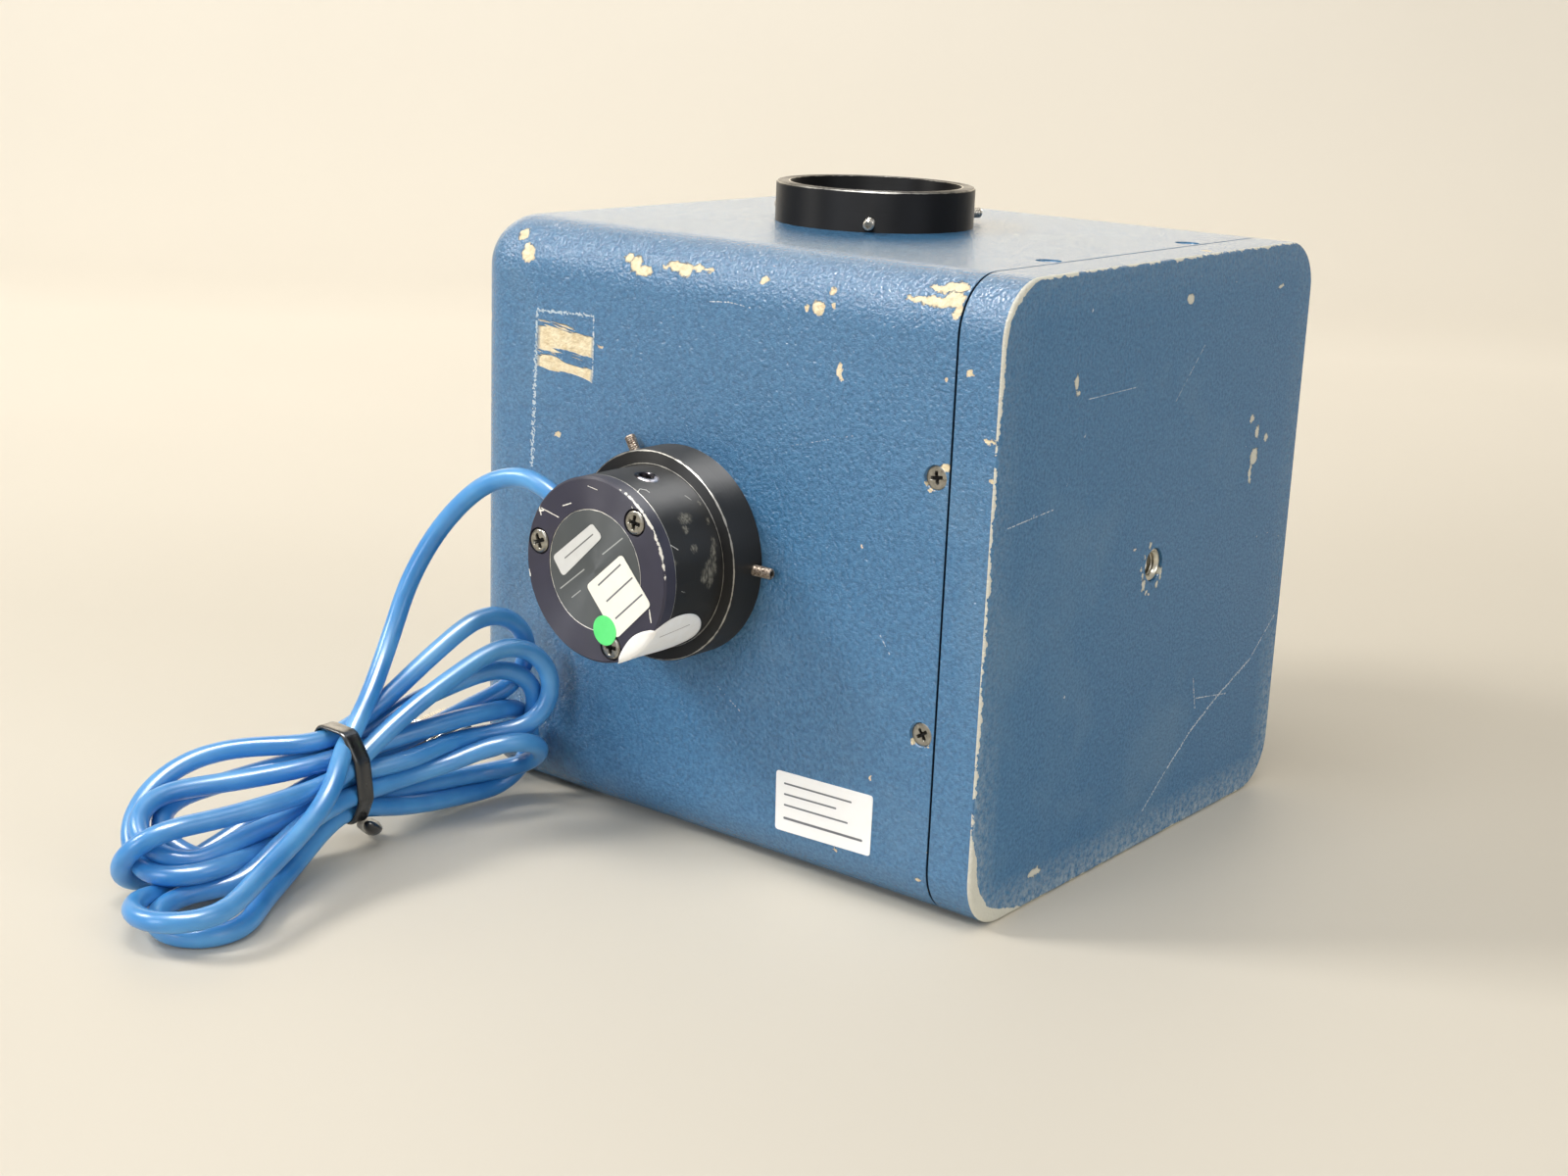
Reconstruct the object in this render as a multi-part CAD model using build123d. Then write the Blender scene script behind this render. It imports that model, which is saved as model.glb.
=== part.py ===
from build123d import *
import math
import os

# Integrating sphere in a painted box housing, with a round photodiode head
# clamped in its front port and a coaxial lead tied up in a hank.
# Millimetres. +X towards the end cover, -Y towards the detector head, +Z up.
# The origin is the centre of the housing's footprint, on the surface it stands on.

# ---------------------------------------------------------------- the sphere
sphere_inner_radius = 63.5
sphere_wall = 3.0
port_radius = 19.05
neck_wall = 3.7                   # round the collar's seat
seat_lip = 2.7                    # wall left at the port's edge, under the seat
ear_reach = 17.5                  # how far an ear stands out of the sphere
ear_half_width = 30.0
ear_thickness = 4.0
ear_corner = 5.0
ear_screw_radius = 1.75
ear_screw_head_radius = 3.2
ear_screw_head_height = 3.5
ear_screw_spread = 20.0           # each side of the middle of an ear
ear_screw_inset = 7.5             # in from the ear's outer edge
baffle_half_width = 22.0
baffle_height = 21.0
baffle_thickness = 1.6
baffle_gap = 0.2

# --------------------------------------------------------------- the housing
housing_wall = 3.2
side_clearance = 0.85             # sphere to front and back wall
height_clearance = 1.95           # sphere to top and bottom wall
closed_end_clearance = 0.70
open_end_clearance = 7.8
edge_radius = 12.7
cover_depth = 11.5
cover_plate = 4.0
cover_face_edge = 0.9
seam_edge = 0.35
tongue_depth = 8.5
tongue_thickness = 4.5
tongue_clearance = 0.15

# ----------------------------------------------------------- cover fasteners
cover_screw_radius = 1.42
cover_screw_head_radius = 2.70
cover_screw_tip_gap = 0.75        # tip short of the tongue's inner face
cover_screw_sink = 0.40           # countersink's mouth below the painted surface
cover_screw_head_drop = 0.10      # head below the countersink's mouth
cover_screw_from_seam = 3.7
cover_screw_rise = 28.6           # above and below the middle, front and back
cover_screw_spread = 31.3         # each side of the middle, top and bottom
countersink_angle = 82.0
countersink_clearance = 0.20
screw_clearance = 0.05

# ------------------------------------------------- threaded hole in the cover
insert_outer_radius = 4.0
insert_bore_radius = 2.60
insert_length = 9.5
insert_recess = 0.6
insert_boss_wall = 5.5
insert_boss_floor = 2.5

# --------------------------------------------------------------- port collars
barrel_radius = 21.2
barrel_clearance = 0.10
collar_wall = 3.4
collar_height = 9.7
collar_chamfer = 0.4
spigot_wall = 1.4
spigot_clearance = 0.10
spigot_end_gap = 0.10

# ----------------------------------------------------------------- set screws
set_screw_radius = 1.42
set_screw_reach = 6.1             # longer than the collar's wall
set_screw_rise = 2.3              # axis above the face the collar stands on
set_screw_end = 0.25
set_screw_socket = 1.27           # across flats
set_screw_socket_depth = 2.4
front_screw_tip_gap = 0.05        # tip to barrel
top_screw_tip_gap = 0.10          # tip behind the empty bore's wall
front_screw_angles = {"right": 0.0, "upper": 120.0, "lower": 240.0}
top_screw_angles = {"front": -56.5, "back": 63.5, "left": 183.5}

# -------------------------------------------------------------- detector head
head_stand_out = 29.0             # back plate's outer face to housing front
back_plate_thickness = 3.5
back_plate_edge = 0.5
barrel_wall = 3.2
barrel_nose = 3.0
barrel_chamfer = 0.4
aperture_radius = 6.5
window_lap = 2.5                  # glass beyond the aperture
window_thickness = 2.0
window_clearance = 0.10
diode_side = 13.0
diode_thickness = 2.2
diode_clearance = 0.10
holder_thickness = 4.5
holder_clearance = 0.10
holder_eye_radius = 5.0           # hole behind the diode for its pins
board_clearance = 1.5
board_thickness = 1.6
spacer_length = 8.0
spacer_radius = 2.2
spacer_bore_radius = 1.1
spacer_inset = 4.0                # in from the board's edge
post_hole_radius = 1.75
post_hole_depth = 5.0             # blind, so that no light gets in
post_hole_from_face = 11.5        # from the back plate's outer face
post_hole_angle = 77.0
post_boss_wall = 1.85
post_boss_floor = 1.2
plate_screw_radius = 1.42
plate_screw_head_radius = 2.8
plate_screw_head_height = 1.8
plate_screw_pocket_clearance = 0.35
plate_screw_pocket_depth = 1.4
plate_screw_length = 8.0
plate_screw_from_rim = 3.6
plate_screw_first_angle = 48.0
plate_screw_boss_wall = 1.58
label_to_pocket = 0.55            # label's edge to the screws' pockets
label_thickness = 0.4
label_recess = 0.5
label_clearance = 0.1

# ------------------------------------------------------------------ the lead
cable_radius = 2.5
gland_wall = 0.4                  # round the lead
gland_reach = 3.7                 # into the barrel's wall
gland_flange_width = 0.6
gland_flange_thickness = 0.8
gland_from_face = 9.0             # from the back plate's outer face
gland_angle = 150.0
gland_clearance = 0.05
arc_share = 0.45                  # of the shorter run that an arc takes up
# The lead leaves the head, bends over and drops to the hank.
cable_route = [
    (-34.2, -90.55, 86.95),
    (-44.0, -91.3, 86.7),
    (-54.1, -92.8, 82.0),
    (-62.3, -96.2, 71.6),
    (-66.3, -101.6, 58.6),
    (-64.8, -108.9, 45.9),
    (-60.5, -118.5, 35.8),
    (-59.0, -126.2, 25.8),
]
# The free end comes out of the hank beside the tie and runs to the plug.
tail_route = [
    (-63.0, -124.4, 13.6),
    (-65.9, -118.6, 12.8),
    (-68.4, -112.4, 12.3),
    (-70.0, -106.0, 12.0),
]
# Outer shape of the tied hank: y, centre x, centre z, half width, half height.
hank_sections = [
    (-71.6, -51.5, 26.0, 8.0, 19.0),
    (-78.0, -52.0, 26.0, 11.0, 22.5),
    (-90.0, -53.0, 25.0, 11.0, 20.5),
    (-108.0, -55.5, 21.5, 9.5, 15.0),
    (-123.0, -58.5, 18.5, 8.5, 11.0),
    (-133.0, -58.5, 18.5, 8.5, 11.0),
    (-150.0, -59.5, 16.0, 14.0, 12.5),
    (-178.0, -58.5, 13.0, 24.0, 12.6),
    (-194.0, -55.5, 10.0, 22.0, 9.6),
    (-199.5, -53.0, 8.0, 15.0, 6.5),
]
tie_y = -129.8
tie_width = 4.4
tie_thickness = 1.1
tie_gap = 0.3
tie_section = hank_sections[4]
tie_knot_along = 3.6
tie_knot_across = 5.0
tie_knot_drop = 3.2

# ------------------------------------------------------------------- the plug
boot_length = 12.0
boot_wall = 0.6                   # round the lead
boot_step = 0.9                   # boot's large end to the plug's body
plug_body_radius = 4.8
plug_body_length = 7.5
plug_contact_radius = 4.05
plug_contact_wall = 0.55
plug_contact_length = 9.5
plug_insulator_gap = 0.1
plug_insulator_length = 5.0
plug_pin_radius = 0.68
plug_pin_reach = 3.0
sleeve_wall = 1.25
bayonet_gap = 1.95                # sleeve's bore to the outer contact
sleeve_neck_clearance = 0.10
sleeve_neck_length = 4.0
sleeve_lap = 4.8                  # sleeve back over the plug's body
sleeve_length = 14.0
bayonet_slot_radius = 1.1
bayonet_slot_steps = 6
bayonet_slot_turn = 60.0
bayonet_slot_depth = 6.0

# ---------------------------------------------------------- worked-out places
sphere_outer_radius = sphere_inner_radius + sphere_wall
half_width = sphere_outer_radius + side_clearance + housing_wall
half_height = sphere_outer_radius + height_clearance + housing_wall
closed_end_to_sphere = sphere_outer_radius + closed_end_clearance + housing_wall
sphere_to_seam = sphere_outer_radius + open_end_clearance
housing_length = closed_end_to_sphere + sphere_to_seam + cover_depth
closed_end_x = -housing_length / 2
seam_x = closed_end_x + closed_end_to_sphere + sphere_to_seam
cover_face_x = seam_x + cover_depth
sphere_centre = Vector(closed_end_x + closed_end_to_sphere, 0, half_height)
collar_bore_radius = barrel_radius + barrel_clearance
spigot_radius = collar_bore_radius + spigot_wall
seat_radius = spigot_radius + spigot_clearance
seat_distance = math.sqrt(sphere_inner_radius**2 - port_radius**2) + seat_lip
head_face_distance = half_width + head_stand_out
barrel_end_distance = head_face_distance - back_plate_thickness
neck_radius = seat_radius + neck_wall
collar_outer_radius = collar_bore_radius + collar_wall
set_screw_length = collar_wall + set_screw_reach
tongue_inner_depth = housing_wall + tongue_clearance + tongue_thickness
cover_screw_depth = tongue_inner_depth - cover_screw_tip_gap
insert_boss_radius = insert_outer_radius + insert_boss_wall
window_radius = aperture_radius + window_lap
board_radius = barrel_radius - barrel_wall - board_clearance
spacer_circle_radius = board_radius - spacer_inset
plate_screw_circle_radius = barrel_radius - plate_screw_from_rim
plate_screw_pocket_radius = plate_screw_head_radius + plate_screw_pocket_clearance
label_radius = plate_screw_circle_radius - plate_screw_pocket_radius - label_to_pocket
gland_radius = cable_radius + gland_wall
plug_contact_bore_radius = plug_contact_radius - plug_contact_wall
sleeve_bore_radius = plug_contact_radius + bayonet_gap
sleeve_outer_radius = sleeve_bore_radius + sleeve_wall


# ------------------------------------------------------ planes and round bars
def front_port_plane(distance):
    """Plane facing out of the front port, at a distance from the sphere's centre."""
    origin = sphere_centre + Vector(0, -distance, 0)
    return Plane(origin, x_dir=(1, 0, 0), z_dir=(0, -1, 0))


def top_port_plane(distance):
    """Plane facing out of the top port, at a distance from the sphere's centre."""
    origin = sphere_centre + Vector(0, 0, distance)
    return Plane(origin, x_dir=(1, 0, 0), z_dir=(0, 0, 1))


def around(plane, radius, angle):
    """Parallel plane whose origin is out along a radius, at an angle from the X direction."""
    turn = math.radians(angle)
    out = plane.x_dir * math.cos(turn) + plane.y_dir * math.sin(turn)
    return Plane(plane.origin + out * radius, x_dir=plane.x_dir, z_dir=plane.z_dir)


def radial(plane, radius, angle):
    """Plane that faces straight out from the plane's axis, at a radius and an angle."""
    turn = math.radians(angle)
    out = plane.x_dir * math.cos(turn) + plane.y_dir * math.sin(turn)
    return Plane(plane.origin + out * radius, x_dir=plane.z_dir, z_dir=out)


def disc(plane, radius, depth):
    """Round bar that starts on the plane and grows along its normal."""
    return plane * Pos(0, 0, depth / 2) * Cylinder(radius, depth)


def chamfered_end(bar, plane, size):
    """The bar with the edge furthest along the plane's normal broken."""
    rims = bar.edges().filter_by(GeomType.CIRCLE)
    return chamfer(rims.sort_by(lambda rim: plane.to_local_coords(rim.center()).Z)[-1], size)


# --------------------------------------------------------------- housing body
def section_bar(inset, x_from, x_to):
    """Bar along X with the housing's rounded section, inset on all four sides."""
    plane = Plane((x_from, 0, sphere_centre.Z), x_dir=(0, 1, 0), z_dir=(1, 0, 0))
    corner = max(edge_radius - inset, 1.0)
    outline = plane * RectangleRounded(2 * (half_width - inset), 2 * (half_height - inset), corner)
    return extrude(outline, x_to - x_from)


def round_ended_bar(inset, x_from, x_to):
    """Section bar whose closed end is rounded over with its own corner radius."""
    bar = section_bar(inset, x_from, x_to)
    corner = max(edge_radius - inset, 1.0)
    return fillet(bar.faces().sort_by(Axis.X)[0].edges(), corner * 0.998)


def cover_screw_planes():
    """Planes on the housing's outer faces at each cover screw, facing outwards."""
    x = seam_x - cover_screw_from_seam
    planes = []
    for side in (-1, 1):
        for rise in (-cover_screw_rise, cover_screw_rise):
            at = (x, side * half_width, sphere_centre.Z + rise)
            planes.append(Plane(at, x_dir=(1, 0, 0), z_dir=(0, side, 0)))
        for spread in (-cover_screw_spread, cover_screw_spread):
            at = (x, spread, sphere_centre.Z + side * half_height)
            planes.append(Plane(at, x_dir=(1, 0, 0), z_dir=(0, 0, side)))
    return planes


def cone_height(large_radius, small_radius):
    return (large_radius - small_radius) / math.tan(math.radians(countersink_angle / 2))


def countersunk_hole(plane):
    """Recess, cone and clearance hole for one flat-head cover screw."""
    mouth_radius = cover_screw_head_radius + countersink_clearance
    hole_radius = cover_screw_radius + countersink_clearance
    cone = cone_height(mouth_radius, hole_radius)
    recess = disc(plane.offset(-cover_screw_sink), mouth_radius, 2 * cover_screw_sink)
    seat = plane * Pos(0, 0, -cover_screw_sink - cone / 2) * Cone(hole_radius, mouth_radius, cone)
    through = disc(plane.offset(-2 * housing_wall), hole_radius, 2 * housing_wall)
    return recess + seat + through


def make_housing_body():
    outer = round_ended_bar(0, closed_end_x, seam_x)
    cavity = round_ended_bar(housing_wall, closed_end_x + housing_wall, seam_x + housing_wall)
    body = outer - cavity
    mouth = body.faces().sort_by(Axis.X)[-1].outer_wire().edges()
    body = chamfer(mouth, seam_edge)
    for plane in (front_port_plane(half_width), top_port_plane(half_height)):
        body -= disc(plane.offset(-2 * housing_wall), seat_radius, 3 * housing_wall)
    for plane in cover_screw_planes():
        body -= countersunk_hole(plane)
    return body


# ------------------------------------------------------------------ end cover
def cover_face_plane():
    """Plane on the cover's outer face, facing into the housing."""
    return Plane((cover_face_x, 0, sphere_centre.Z), x_dir=(0, 1, 0), z_dir=(-1, 0, 0))


def make_end_cover():
    rim = section_bar(0, seam_x, cover_face_x)
    rim = fillet(rim.faces().sort_by(Axis.X)[-1].edges(), cover_face_edge)
    rim = chamfer(rim.faces().sort_by(Axis.X)[0].edges(), seam_edge)
    tongue_outset = housing_wall + tongue_clearance
    tongue = section_bar(tongue_outset, seam_x - tongue_depth, seam_x + cover_plate)
    pocket = section_bar(tongue_inner_depth, seam_x - 2 * tongue_depth, cover_face_x - cover_plate)
    cover = rim + tongue - pocket
    face = cover_face_plane()
    hole_depth = insert_recess + insert_length
    boss_length = hole_depth + insert_boss_floor - cover_plate / 2
    cover += disc(face.offset(cover_plate / 2), insert_boss_radius, boss_length)
    cover -= disc(face, insert_outer_radius + screw_clearance, hole_depth)
    for plane in cover_screw_planes():
        tap = plane.offset(-2 * tongue_inner_depth)
        cover -= disc(tap, cover_screw_radius + screw_clearance, 2 * tongue_inner_depth)
    return cover


def make_thread_insert():
    start = cover_face_plane().offset(insert_recess)
    sleeve = disc(start, insert_outer_radius, insert_length)
    return sleeve - disc(start, insert_bore_radius, insert_length)


def make_cover_screws():
    screws = []
    cone = cone_height(cover_screw_head_radius, cover_screw_radius)
    for plane in cover_screw_planes():
        top = plane.offset(-cover_screw_sink - cover_screw_head_drop)
        head = top * Pos(0, 0, -cone / 2) * Cone(cover_screw_radius, cover_screw_head_radius, cone)
        tip = plane.offset(-cover_screw_depth)
        shank_length = cover_screw_depth - cover_screw_sink - cover_screw_head_drop
        shank = disc(tip, cover_screw_radius, shank_length)
        screws.append(head + shank)
    return screws


# --------------------------------------------------------------------- sphere
# The sphere parts on a plane through X that leans 45 degrees, so that both ports
# are in the upper front half and the ears lie along the box's long corners.
split_plane = Plane(sphere_centre, x_dir=(1, 0, 0), z_dir=(0, -1, 1))


def make_half(side):
    """Solid half ball with an ear at each end; side +1 holds the ports, -1 is blank."""
    size = 4 * sphere_outer_radius
    keep = split_plane * Pos(0, 0, side * size / 2) * Box(size, size, size)
    half = (Pos(sphere_centre) * Sphere(sphere_outer_radius)) & keep
    reach = sphere_outer_radius + ear_reach
    root = sphere_inner_radius - ear_reach
    for end in (-1, 1):
        middle = Pos(0, end * (reach + root) / 2, 0)
        outline = RectangleRounded(2 * ear_half_width, reach - root, ear_corner)
        half += extrude(split_plane * middle * outline, side * ear_thickness)
    return half


def ear_screw_planes():
    """Planes on the ported half's ears where the four screws' heads seat."""
    reach = sphere_outer_radius + ear_reach - ear_screw_inset
    planes = []
    for end in (-1, 1):
        for spread in (-ear_screw_spread, ear_screw_spread):
            place = Pos(spread, end * reach, ear_thickness)
            planes.append(Plane((split_plane * place).position, x_dir=(1, 0, 0),
                                z_dir=split_plane.z_dir))
    return planes


def make_ported_half():
    half = make_half(1)
    hollow = Pos(sphere_centre) * Sphere(sphere_inner_radius)
    neck_root = sphere_inner_radius - 2 * neck_radius / 3
    for plane, wall_distance in (
        (front_port_plane(0), half_width - housing_wall),
        (top_port_plane(0), half_height - housing_wall),
    ):
        half += disc(plane.offset(neck_root), neck_radius, wall_distance - neck_root)
        half -= disc(plane.offset(seat_distance), seat_radius, wall_distance)
        half -= disc(plane.offset(neck_root), port_radius, wall_distance)
    half -= hollow
    for plane in ear_screw_planes():
        hole = plane.offset(-2 * ear_thickness)
        half -= disc(hole, ear_screw_radius + 2 * screw_clearance, 3 * ear_thickness)
    return half


def make_blank_half():
    half = make_half(-1) - Pos(sphere_centre) * Sphere(sphere_inner_radius)
    for plane in ear_screw_planes():
        hole = plane.offset(-3 * ear_thickness)
        half -= disc(hole, ear_screw_radius + screw_clearance, 3 * ear_thickness)
    return half


def make_ear_screws():
    screws = []
    for plane in ear_screw_planes():
        head = disc(plane, ear_screw_head_radius, ear_screw_head_height)
        head = chamfered_end(head, plane, 0.3)
        shank = disc(plane.offset(-2 * ear_thickness), ear_screw_radius, 2 * ear_thickness)
        screws.append(head + shank)
    return screws


def make_baffle():
    """Fin between the two ports; its outer edge follows the sphere's wall."""
    fin_plane = Plane(sphere_centre, x_dir=(1, 0, 0), z_dir=(0, 1, 1))
    middle = Pos(0, -sphere_inner_radius + baffle_height / 2, 0)
    blade = fin_plane * middle * Box(2 * baffle_half_width, baffle_height, baffle_thickness)
    return blade & (Pos(sphere_centre) * Sphere(sphere_inner_radius - baffle_gap))


# -------------------------------------------------------------------- collars
def make_collar(face_plane, spigot_length, angles):
    """Ring on the housing's face, with a spigot through the wall into the sphere's seat."""
    ring = disc(face_plane, collar_outer_radius, collar_height)
    ring = chamfered_end(ring, face_plane, collar_chamfer)
    spigot_end = face_plane.offset(-spigot_length)
    ring += disc(spigot_end, spigot_radius, spigot_length + collar_height / 2)
    ring -= disc(spigot_end, collar_bore_radius, spigot_length + collar_height)
    screw_plane = face_plane.offset(set_screw_rise)
    for angle in angles:
        hole = radial(screw_plane, collar_bore_radius / 2, angle)
        ring -= disc(hole, set_screw_radius + screw_clearance, collar_outer_radius)
    return ring


def make_front_collar():
    spigot_length = half_width - seat_distance - spigot_end_gap
    return make_collar(front_port_plane(half_width), spigot_length, front_screw_angles.values())


def make_top_collar():
    spigot_length = half_height - seat_distance - spigot_end_gap
    return make_collar(top_port_plane(half_height), spigot_length, top_screw_angles.values())


def make_set_screw(face_plane, angle, tip_radius):
    """Socket set screw that lies along a radius of the collar, tip inwards."""
    start = radial(face_plane.offset(set_screw_rise), tip_radius, angle)
    screw = disc(start, set_screw_radius, set_screw_length)
    screw = chamfer(screw.edges().filter_by(GeomType.CIRCLE), set_screw_end)
    floor = start.offset(set_screw_length - set_screw_socket_depth)
    socket = floor * RegularPolygon(set_screw_socket / 2, 6, major_radius=False)
    return screw - extrude(socket, set_screw_socket_depth)


# -------------------------------------------------------------- detector head
def plate_screw_planes(distance):
    """Planes facing out of the head at its three back-plate screws."""
    base = front_port_plane(distance)
    angles = [plate_screw_first_angle + step * 360 / 3 for step in range(3)]
    return [around(base, plate_screw_circle_radius, angle) for angle in angles]


def gland_plane(radius):
    return radial(front_port_plane(head_face_distance - gland_from_face), radius, gland_angle)


def make_barrel():
    start = front_port_plane(seat_distance)
    length = barrel_end_distance - seat_distance
    shell = disc(start, barrel_radius, length)
    nose_rim = shell.edges().filter_by(GeomType.CIRCLE).sort_by(Axis.Y)[-1]
    shell = chamfer(nose_rim, barrel_chamfer)
    barrel = shell - disc(start.offset(barrel_nose), barrel_radius - barrel_wall, length)
    for plane in plate_screw_planes(barrel_end_distance):
        boss_start = plane.offset(-plate_screw_length)
        boss_radius = plate_screw_radius + plate_screw_boss_wall
        barrel += disc(boss_start, boss_radius, plate_screw_length) & shell
        barrel -= disc(boss_start, plate_screw_radius + screw_clearance, plate_screw_length)
    barrel -= disc(start, aperture_radius, barrel_nose)
    window_lip = barrel_nose - window_thickness - window_clearance
    barrel -= disc(start.offset(window_lip), window_radius + window_clearance, barrel_nose)
    post_plane = front_port_plane(head_face_distance - post_hole_from_face)
    mouth = radial(post_plane, barrel_radius, post_hole_angle)
    boss_end = mouth.offset(-post_hole_depth - post_boss_floor)
    boss_length = post_boss_floor + post_hole_depth - barrel_wall / 2
    barrel += disc(boss_end, post_hole_radius + post_boss_wall, boss_length)
    barrel -= disc(mouth.offset(-post_hole_depth), post_hole_radius, 2 * post_hole_depth)
    gland_start = gland_plane(barrel_radius - 2 * barrel_wall)
    barrel -= disc(gland_start, gland_radius + gland_clearance, 3 * barrel_wall)
    return barrel


def make_window():
    lip = barrel_nose - window_thickness - window_clearance
    return disc(front_port_plane(seat_distance + lip), window_radius, window_thickness)


def make_holder():
    """Disc behind the nose with a square pocket for the photodiode."""
    start = front_port_plane(seat_distance + barrel_nose)
    radius = barrel_radius - barrel_wall - holder_clearance
    holder = disc(start, radius, holder_thickness)
    side = diode_side + 2 * diode_clearance
    depth = diode_thickness + 2 * diode_clearance
    holder -= start * Pos(0, 0, depth / 2) * Box(side, side, depth)
    holder -= disc(start, holder_eye_radius, holder_thickness)
    return holder


def make_diode():
    start = front_port_plane(seat_distance + barrel_nose + diode_clearance)
    return start * Pos(0, 0, diode_thickness / 2) * Box(diode_side, diode_side, diode_thickness)


def make_spacers():
    start = front_port_plane(seat_distance + barrel_nose + holder_thickness)
    spacers = []
    for step in range(3):
        place = around(start, spacer_circle_radius, plate_screw_first_angle + step * 360 / 3)
        post = disc(place, spacer_radius, spacer_length)
        spacers.append(post - disc(place, spacer_bore_radius, spacer_length))
    return spacers


def make_board():
    start = front_port_plane(seat_distance + barrel_nose + holder_thickness + spacer_length)
    board = disc(start, board_radius, board_thickness)
    for step in range(3):
        place = around(start, spacer_circle_radius, plate_screw_first_angle + step * 360 / 3)
        board -= disc(place, spacer_bore_radius, board_thickness)
    return board


def make_back_plate():
    inner = front_port_plane(barrel_end_distance)
    plate = disc(inner, barrel_radius, back_plate_thickness)
    plate = chamfered_end(plate, inner, back_plate_edge)
    outer = inner.offset(back_plate_thickness)
    plate -= disc(outer.offset(-label_recess), label_radius + label_clearance, label_recess)
    for plane in plate_screw_planes(barrel_end_distance):
        pocket = plane.offset(back_plate_thickness - plate_screw_pocket_depth)
        plate -= disc(pocket, plate_screw_pocket_radius, plate_screw_pocket_depth)
        plate -= disc(plane, plate_screw_radius + 2 * screw_clearance, back_plate_thickness)
    return plate


def make_plate_screws():
    screws = []
    for plane in plate_screw_planes(head_face_distance - plate_screw_pocket_depth):
        head = disc(plane, plate_screw_head_radius, plate_screw_head_height)
        head = fillet(head.edges().filter_by(GeomType.CIRCLE).sort_by(Axis.Y)[0], 0.6)
        shank_length = plate_screw_length - 1.0
        screws.append(head + disc(plane.offset(-shank_length), plate_screw_radius, shank_length))
    return screws


def make_label():
    floor = front_port_plane(head_face_distance - label_recess)
    return disc(floor, label_radius, label_thickness)


# ------------------------------------------------------------------- the lead
def make_gland():
    """Bush in the barrel's wall; the lead starts at its outer face."""
    shank = disc(gland_plane(barrel_radius - gland_reach), gland_radius, gland_reach)
    flange_radius = gland_radius + gland_flange_width
    return shank + disc(gland_plane(barrel_radius), flange_radius, gland_flange_thickness)


def bend_radii(route):
    """Largest arc that the two runs at each point allow."""
    radii = []
    for before, at, after in zip(route, route[1:], route[2:]):
        run_in = Vector(*at) - Vector(*before)
        run_out = Vector(*after) - Vector(*at)
        half_turn = math.radians(run_in.get_angle(run_out)) / 2
        radii.append(arc_share * min(run_in.length, run_out.length) / math.tan(half_turn))
    return radii


def make_tube(name, route):
    """Round lead swept along straight runs joined by tangent arcs."""
    radii = bend_radii(route)
    path = FilletPolyline(*route, radius=radii)
    start = Plane(path @ 0, z_dir=path % 0)
    tube = sweep(start * Circle(cable_radius), path)
    section = math.pi * cable_radius**2
    print(name, "length", round(path.length, 1), "radii", [round(radius, 1) for radius in radii])
    print(name, "volume", round(tube.volume), "section x length", round(section * path.length))
    return tube


def gland_exit():
    exit_point = gland_plane(barrel_radius + gland_flange_thickness).origin
    return (exit_point.X, exit_point.Y, exit_point.Z)


def hank_plane(y, x, z):
    return Plane((x, y, z), x_dir=(1, 0, 0), z_dir=(0, -1, 0))


def make_hank():
    """Outer shape of the turns of lead: pinched at the tie, fanned out at both ends."""
    outlines = []
    for y, x, z, half_w, half_h in hank_sections:
        outlines.append(hank_plane(y, x, z) * Ellipse(half_w, half_h))
    return loft(outlines, ruled=True)


def make_tie():
    """Band round the hank's waist, with the twisted ends in a knot underneath."""
    _, x, z, half_w, half_h = tie_section
    start = hank_plane(tie_y + tie_width / 2, x, z)
    inner_w = half_w + tie_gap
    inner_h = half_h + tie_gap
    band = extrude(start * Ellipse(inner_w + tie_thickness, inner_h + tie_thickness), tie_width)
    knot_z = z - inner_h - tie_thickness / 2 - tie_knot_drop / 2
    knot = Pos(x, tie_y, knot_z) * Box(tie_knot_across, tie_knot_along, tie_knot_drop)
    knot = fillet(knot.edges().filter_by(Axis.Z), 1.2)
    return band + knot - extrude(start * Ellipse(inner_w, inner_h), tie_width)


# ------------------------------------------------------------------- the plug
def plug_plane(distance):
    """Plane across the plug's axis, which carries on straight from the end of the lead."""
    end = Vector(*tail_route[-1])
    along = (end - Vector(*tail_route[-2])).normalized()
    return Plane(end + along * distance, x_dir=along.cross(Vector(0, 0, 1)), z_dir=along)


def make_boot():
    middle = plug_plane(boot_length / 2)
    return middle * Cone(cable_radius + boot_wall, plug_body_radius - boot_step, boot_length)


def make_plug_body():
    """Turned body with the tubular outer contact in front."""
    body = disc(plug_plane(boot_length), plug_body_radius, plug_body_length)
    front = boot_length + plug_body_length
    body += disc(plug_plane(front), plug_contact_radius, plug_contact_length)
    bore = plug_plane(front - plug_insulator_length / 2)
    body -= disc(bore, plug_contact_bore_radius, plug_contact_length + plug_insulator_length)
    return body


def make_plug_insulator():
    start = plug_plane(boot_length + plug_body_length - plug_insulator_length / 2)
    radius = plug_contact_bore_radius - plug_insulator_gap
    block = disc(start, radius, plug_insulator_length)
    return block - disc(start, plug_pin_radius + plug_insulator_gap / 2, plug_insulator_length)


def make_plug_pin():
    start = plug_plane(boot_length + plug_body_length - plug_insulator_length / 2)
    pin = disc(start, plug_pin_radius, plug_insulator_length + plug_pin_reach)
    return chamfered_end(pin, start, plug_pin_radius / 2)


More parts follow.
